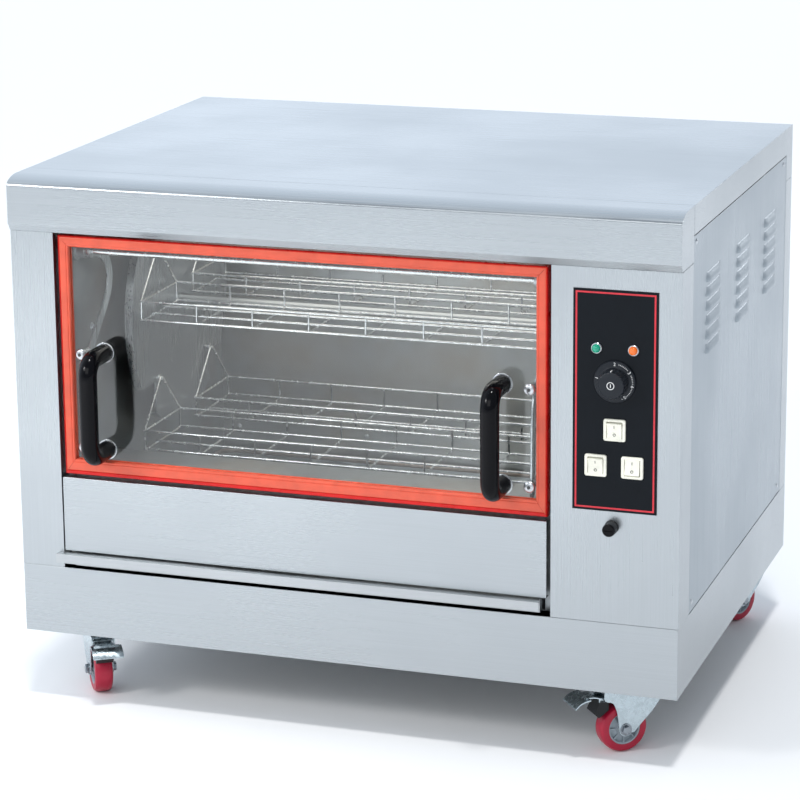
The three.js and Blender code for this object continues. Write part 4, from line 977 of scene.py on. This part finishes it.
def rotor_plate(name, outward):
    """An end plate with four notches, a flanged rim and a bolted hub."""
    low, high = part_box(name)
    axis = pivot("rotor_spin")
    radius = (high.z - low.z) / 2
    half = math.degrees(math.asin(NOTCH / radius))
    outline, rims = [], []
    for turn in (0, 90, 180, 270):
        rim = arc((0, 0), (radius, radius), turn - half, turn + half, 24)
        rims.append(rim)
        corner, reach = math.radians(turn + 45), NOTCH * math.sqrt(2)
        outline += [*rim, (reach * math.cos(corner), reach * math.sin(corner))]
    shape = Shape().prism(outline, Vector((low.x, axis.y, axis.z)), Y, Z, X * (high.x - low.x))
    face = Vector((low.x if outward < 0 else high.x, axis.y, axis.z))
    shrink = 1 - 1.6 * MM / radius
    for rim in rims:
        inner = [(y * shrink, z * shrink) for y, z in rim]
        shape.prism(rim + inner[::-1], face, Y, Z, X * outward * 9 * MM)
    hub = [(9.2, 0), (30, 0), (30, 3), (16, 4), (16, 14), (9.2, 14)]
    shape.turned(hub, face, X * outward, 48)
    for k in range(4):
        angle = math.radians(45 + 90 * k)
        spot = face + Vector((outward * 3, 22 * math.cos(angle), 22 * math.sin(angle))) * MM
        shape.take(hex_bolt(3.2, 2.6), facing(spot, X * outward))
    piece(f"{name}_disc", shape, plate_steel, "rotor", [name], bevel=0.4 * MM)


def basket_wires(low, high, pin):
    """One basket's wires: rails, floor, rounded cross wires and the end frames that hang from the pins."""
    rail, thin = 2.0 * MM, 1.5 * MM
    front, back = low.y + rail, high.y - rail
    floor = low.z + 2 * thin + rail
    top = pin.z - BASKET_RIM
    left, right = low.x + BASKET_PINS, high.x - BASKET_PINS
    shape = Shape()
    for y, z in ((front, top), (back, top), *((front + (back - front) * i / 3, floor) for i in range(4))):
        shape.tube([(left - rail, y, z), (right + rail, y, z)], rail, 10)
    bays = 7
    for bay in range(bays + 1):
        x = left + (right - left) * bay / bays
        bend = [(x, front + rail, top + 1 * MM), (x, front + rail * 0.6, floor - rail),
                (x, back - rail * 0.6, floor - rail), (x, back - rail, top + 1 * MM)]
        shape.tube(rounded(bend, 5 * MM, 4), thin, 8)
    for x, outward in ((left, -1), (right, 1)):
        shape.tube([(x, front, top), (x, back, top)], thin * 1.15, 10)
        peak = Vector((x, pin.y, pin.z))
        hanger = [Vector((x, front, top)), peak + Z * 5 * MM, Vector((x, back, top))]
        shape.tube(rounded(hanger, 9 * MM, 6), thin * 1.15, 10)
        end = low.x if outward < 0 else high.x
        length = abs(end - x) / MM
        stub = [(0, -3), (2.6, -3), (3, -2.4), (3, length - 0.6), (2.4, length), (0, length)]
        shape.turned(stub, peak, X * outward, 20)
        for at in (2.2, length - 1.9):
            shape.turned(ring(3, 5.6, 0, 1.2), peak + X * outward * at * MM, X * outward, 24)
    return shape


def rotor():
    rotor_plate("left_rotor_plate", -1)
    rotor_plate("right_rotor_plate", 1)
    low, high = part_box("rotor_shaft")
    start = pivot("rotor_spin")
    start.x = low.x
    shaft = Shape().turned(rod(9, (high.x - low.x) / MM, 0.8), start, X, 40)
    piece("rotor_bar", shaft, satin_x, "rotor", ["rotor_shaft"])
    for i in range(1, 5):
        name = f"basket_{i}"
        low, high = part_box(name)
        piece(f"{name}_wires", basket_wires(low, high, pivot(f"{name}_swing")), wire_steel, name, [name])


def tray():
    finished("drip_tray", satin_x, bevel=1.0 * MM)


# --- Casters, made fore and aft along +X about the swivel, in millimetres, then placed ---

AXLE = (26, 0, 36)
BRAKE_PIVOT = (52, 0, 87)


def scaled(shape, matrix):
    """A shape made in millimetres, placed in metres by a matrix."""
    return shape.moved(matrix @ Matrix.Scale(MM, 4))


def turned_mm(shape, profile, origin, axis, segments=48, paint=0):
    """A turned profile inside a shape that is still in millimetres."""
    return shape.turned([(r / MM, h / MM) for r, h in profile], Vector(origin), axis, segments, paint=paint)


def fork_shape(top):
    """A stamped fork with its ball race, king-pin rivet, axle bolt and nut."""
    head = top - 12
    cheek = smooth([(-33, head + 2), (-32, 88), (-26, 74), (-14, 58), (0, 44), (13, 30)], 5)
    toe = arc((AXLE[0], AXLE[2]), (10.5, 10.5), 215, 345, 10)
    rear = smooth([(38, 50), (41, 66), (47, 78), (59, 83), (60, head + 2)], 5)
    outline = [*cheek, *toe, *rear]
    shape = Shape()
    for y in (-18, 15.5):
        shape.prism(outline, Vector((0, y, 0)), X, Z, Y * 2.5)
    shape.block((-33, -17.5, head - 1.5), (59, 17.5, head + 1.5))
    turned_mm(shape, [(0, -3), (9, -3), (10, -1.5), (10, 0), (0, 0)], (0, 0, head - 1.5), Z, 32)
    race = [(0, 0.2), (22, 0.2), (25, 2), (25, 4.4), (22.5, 5.4), (22.5, 6.4), (26, 7.4), (26, 10.4),
            (24, 11.9), (0, 11.9)]
    turned_mm(shape, race, (0, 0, head), Z, 56)
    for side in (-1, 1):
        face = (AXLE[0], side * 18, AXLE[2])
        turned_mm(shape, ring(0, 9, 0.05, 1.2), face, Y * side, 32, paint=1)
        turned_mm(shape, [(0, 1.2), (7, 1.2), (7, 5), (6, 5.6), (0, 5.6)], face, Y * side, 6, paint=1)
    turned_mm(shape, ring(0, 4, -15.2, 15.2), AXLE, Y, 20)
    return shape


def wheel_shape():
    """A tread on a ribbed hub with a bearing each side."""
    shape = Shape()
    tread = [(24.2, -13), (30, -14), (33.6, -12.6), (35.4, -9.5), (36, -5), (36, 5), (35.4, 9.5),
             (33.6, 12.6), (30, 14), (24.2, 13)]
    turned_mm(shape, tread, AXLE, Y, 72)
    hub = [(9.4, -12.6), (11, -12.2), (12, -9), (20.5, -7.5), (22, -12), (24.1, -12.6), (24.1, 12.6),
           (22, 12), (20.5, 7.5), (12, 9), (11, 12.2), (9.4, 12.6)]
    turned_mm(shape, hub, AXLE, Y, 56, paint=1)
    rib = Shape().block((11, -11, -1), (22.5, 11, 1))
    for k in range(8):
        shape.take(rib, Matrix.Translation(AXLE) @ Matrix.Rotation(math.radians(45 * k), 4, "Y"), paint=1)
    bearing = [(4.4, 3), (9.3, 3), (9.3, 12.8), (8.4, 13.3), (6, 13.3), (5.6, 12.7), (4.4, 12.7)]
    for side in (-1, 1):
        turned_mm(shape, bearing, AXLE, Y * side, 40, paint=2)
    return shape


def brake_shape():
    """A pressed pedal with turned-down sides and a ribbed toe, and the black shoe under it."""
    shape = Shape()
    line = smooth([(47, 90), (60, 85.5), (74, 88.5), (88, 88.5), (99, 84.5), (106, 78)], 5)
    upper = [(x, z + 1) for x, z in line]
    lower = [(x, z - 1) for x, z in reversed(line)]
    shape.prism(upper + lower, Vector((0, -13, 0)), X, Z, Y * 26)
    toe = [(x, z) for x, z in line if x > 80]
    plate = [(x, z + 1.2) for x, z in toe] + [(x, z - 1.2) for x, z in reversed(toe)]
    shape.prism(plate, Vector((0, -23, 0)), X, Z, Y * 46)
    shape.prism([(84, 89), (87, 92.4), (90, 89)], Vector((0, -19, 0)), X, Z, Y * 38)
    for y in (-13, 11.4):
        shape.block((47, y, 80), (66, y + 1.6, 86.5))
    turned_mm(shape, ring(0, 3, -15, 15), BRAKE_PIVOT, Y, 20)
    shoe = [(51, 67), (66, 56.5), (74, 64), (64, 84), (51, 82)]
    shape.prism(shoe, Vector((0, -13, 0)), X, Z, Y * 26, paint=1)
    return shape


def caster(name):
    swivel, roll = pivot(f"{name}_swivel"), pivot(f"{name}_wheel_roll")
    ahead = Vector((roll.x - swivel.x, roll.y - swivel.y, 0)).normalized()
    across = Z.cross(ahead)
    place = Matrix((
        (ahead.x, across.x, 0, swivel.x), (ahead.y, across.y, 0, swivel.y), (0, 0, 1, 0), (0, 0, 0, 1)))
    fork, wheel, brake = (f"{name}_{part}" for part in ("fork", "wheel", "brake"))
    stamped = scaled(fork_shape(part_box(fork)[1].z / MM), place)
    piece(f"{name}_stamped_fork", stamped, [zinc, dark_steel], fork, [fork], bevel=0.5 * MM)
    tyred = scaled(wheel_shape(), place)
    piece(f"{name}_tyred_wheel", tyred, [crimson, hub_grey, bolt_steel], wheel, [wheel])
    if brake in frame["nodes"]:
        pedal = scaled(brake_shape(), place)
        piece(f"{name}_pedal", pedal, [zinc, black_matte], brake, [brake], bevel=0.4 * MM)
    bolts = Shape()
    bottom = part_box("base_pan")[0].z
    offsets = (-29 * MM, 29 * MM)
    for x in offsets:
        for y in offsets:
            bolts.take(hex_bolt(4.8, 4), facing(Vector((swivel.x + x, swivel.y + y, bottom)), -Z))
    piece(f"{name}_plate_bolts", bolts, zinc, "cabinet")


# --- Floor, light and camera ---


def studio():
    mesh = bpy.data.meshes.new("floor")
    half = 40
    corners = [(x * half, y * half, 0) for x, y in ((-1, -1), (1, -1), (1, 1), (-1, 1))]
    mesh.from_pydata(corners, [], [[0, 1, 2, 3]])
    mesh.materials.append(pale_floor())
    linked("floor", mesh)
    bpy.context.scene.world = sky()
    bpy.context.scene.view_settings.view_transform = "Standard"


def sky():
    """Pale light from all round, brightest low behind the oven and to its left."""
    bright_side = Vector((-0.85, 0.45, 0.1)).normalized()
    dimmest, brightest = 0.45, 1.38
    world = bpy.data.worlds.new("studio")
    world.use_nodes = True
    tree = world.node_tree
    place = tree.nodes.new("ShaderNodeTexCoord")
    towards = tree.nodes.new("ShaderNodeVectorMath")
    towards.operation = "DOT_PRODUCT"
    towards.inputs[1].default_value = bright_side
    strength = tree.nodes.new("ShaderNodeMapRange")
    for socket, value in (("From Min", 0), ("From Max", 0.82), ("To Min", dimmest), ("To Max", brightest)):
        strength.inputs[socket].default_value = value
    background = tree.nodes["Background"]
    background.inputs["Color"].default_value = (0.89, 0.985, 1.11, 1)
    tree.links.new(place.outputs["Generated"], towards.inputs[0])
    tree.links.new(towards.outputs["Value"], strength.inputs["Value"])
    tree.links.new(strength.outputs["Result"], background.inputs["Strength"])
    return world


def aimed(name, data, direction, place=(0, 0, 0)):
    """A light that shines along a direction."""
    light = linked(name, data)
    light.location = place
    light.rotation_mode = "QUATERNION"
    light.rotation_quaternion = Vector(direction).to_track_quat("-Z", "Y")


def area_light(name, place, target, size, energy, color=(1, 1, 1)):
    data = bpy.data.lights.new(name, "AREA")
    data.shape = "RECTANGLE"
    data.size, data.size_y = size
    data.energy = energy
    data.color = color
    aimed(name, data, Vector(target) - Vector(place), place)


def lights():
    sun = bpy.data.lights.new("overhead", "SUN")
    sun.energy = 1.25
    sun.angle = math.radians(6)
    aimed("overhead", sun, (-0.1, 0.18, -1))
    area_light("left_box", (-2.0, -2.7, 2.4), (-0.4, -0.6, 0.3), (0.45, 0.6), 24)
    area_light("front", (0.4, -4.6, 2.6), (0, 0, 0.4), (3.0, 2.0), 40)
    area_light("floor_pool", (-1.3, -2.1, 1.6), (-1.3, -2.1, 0), (1.0, 1.0), 18)
    area_light("back_strip", (2.0, 3.8, 1.2), (0.5, 0, 0.55), (1.0, 0.6), 6)
    top = middle("cavity_roof")
    area_light("inside", top - Z * 12 * MM, top - Z, (0.6, 0.3), 0.9, (1.0, 0.96, 0.9))


def camera():
    """A long lens, in front, to the right and above."""
    data = bpy.data.cameras.new("camera")
    data.sensor_width = 36
    data.lens = 132.5
    data.shift_y = -0.1
    data.clip_end = 200
    place = (1.389, -4.122, 1.594)
    azimuth, elevation, roll = math.radians(18.87), math.radians(13.61), math.radians(-0.52)
    ground = Vector((math.sin(azimuth), -math.cos(azimuth), 0))
    back = ground * math.cos(elevation) + Z * math.sin(elevation)
    level = (-back).cross(Z).normalized()
    steep = level.cross(-back)
    right = level * math.cos(roll) + steep * math.sin(roll)
    up = steep * math.cos(roll) - level * math.sin(roll)
    made = linked("camera", data)
    made.matrix_world = Matrix.Translation(place) @ Matrix((right, up, back)).transposed().to_4x4()
    bpy.context.scene.camera = made


camera()
studio()
lights()
cabinet()
cable_gland()
cavity()
controls()
door()
rotor()
tray()
for caster_name in ("front_left", "front_right", "rear_left", "rear_right"):
    caster(caster_name)
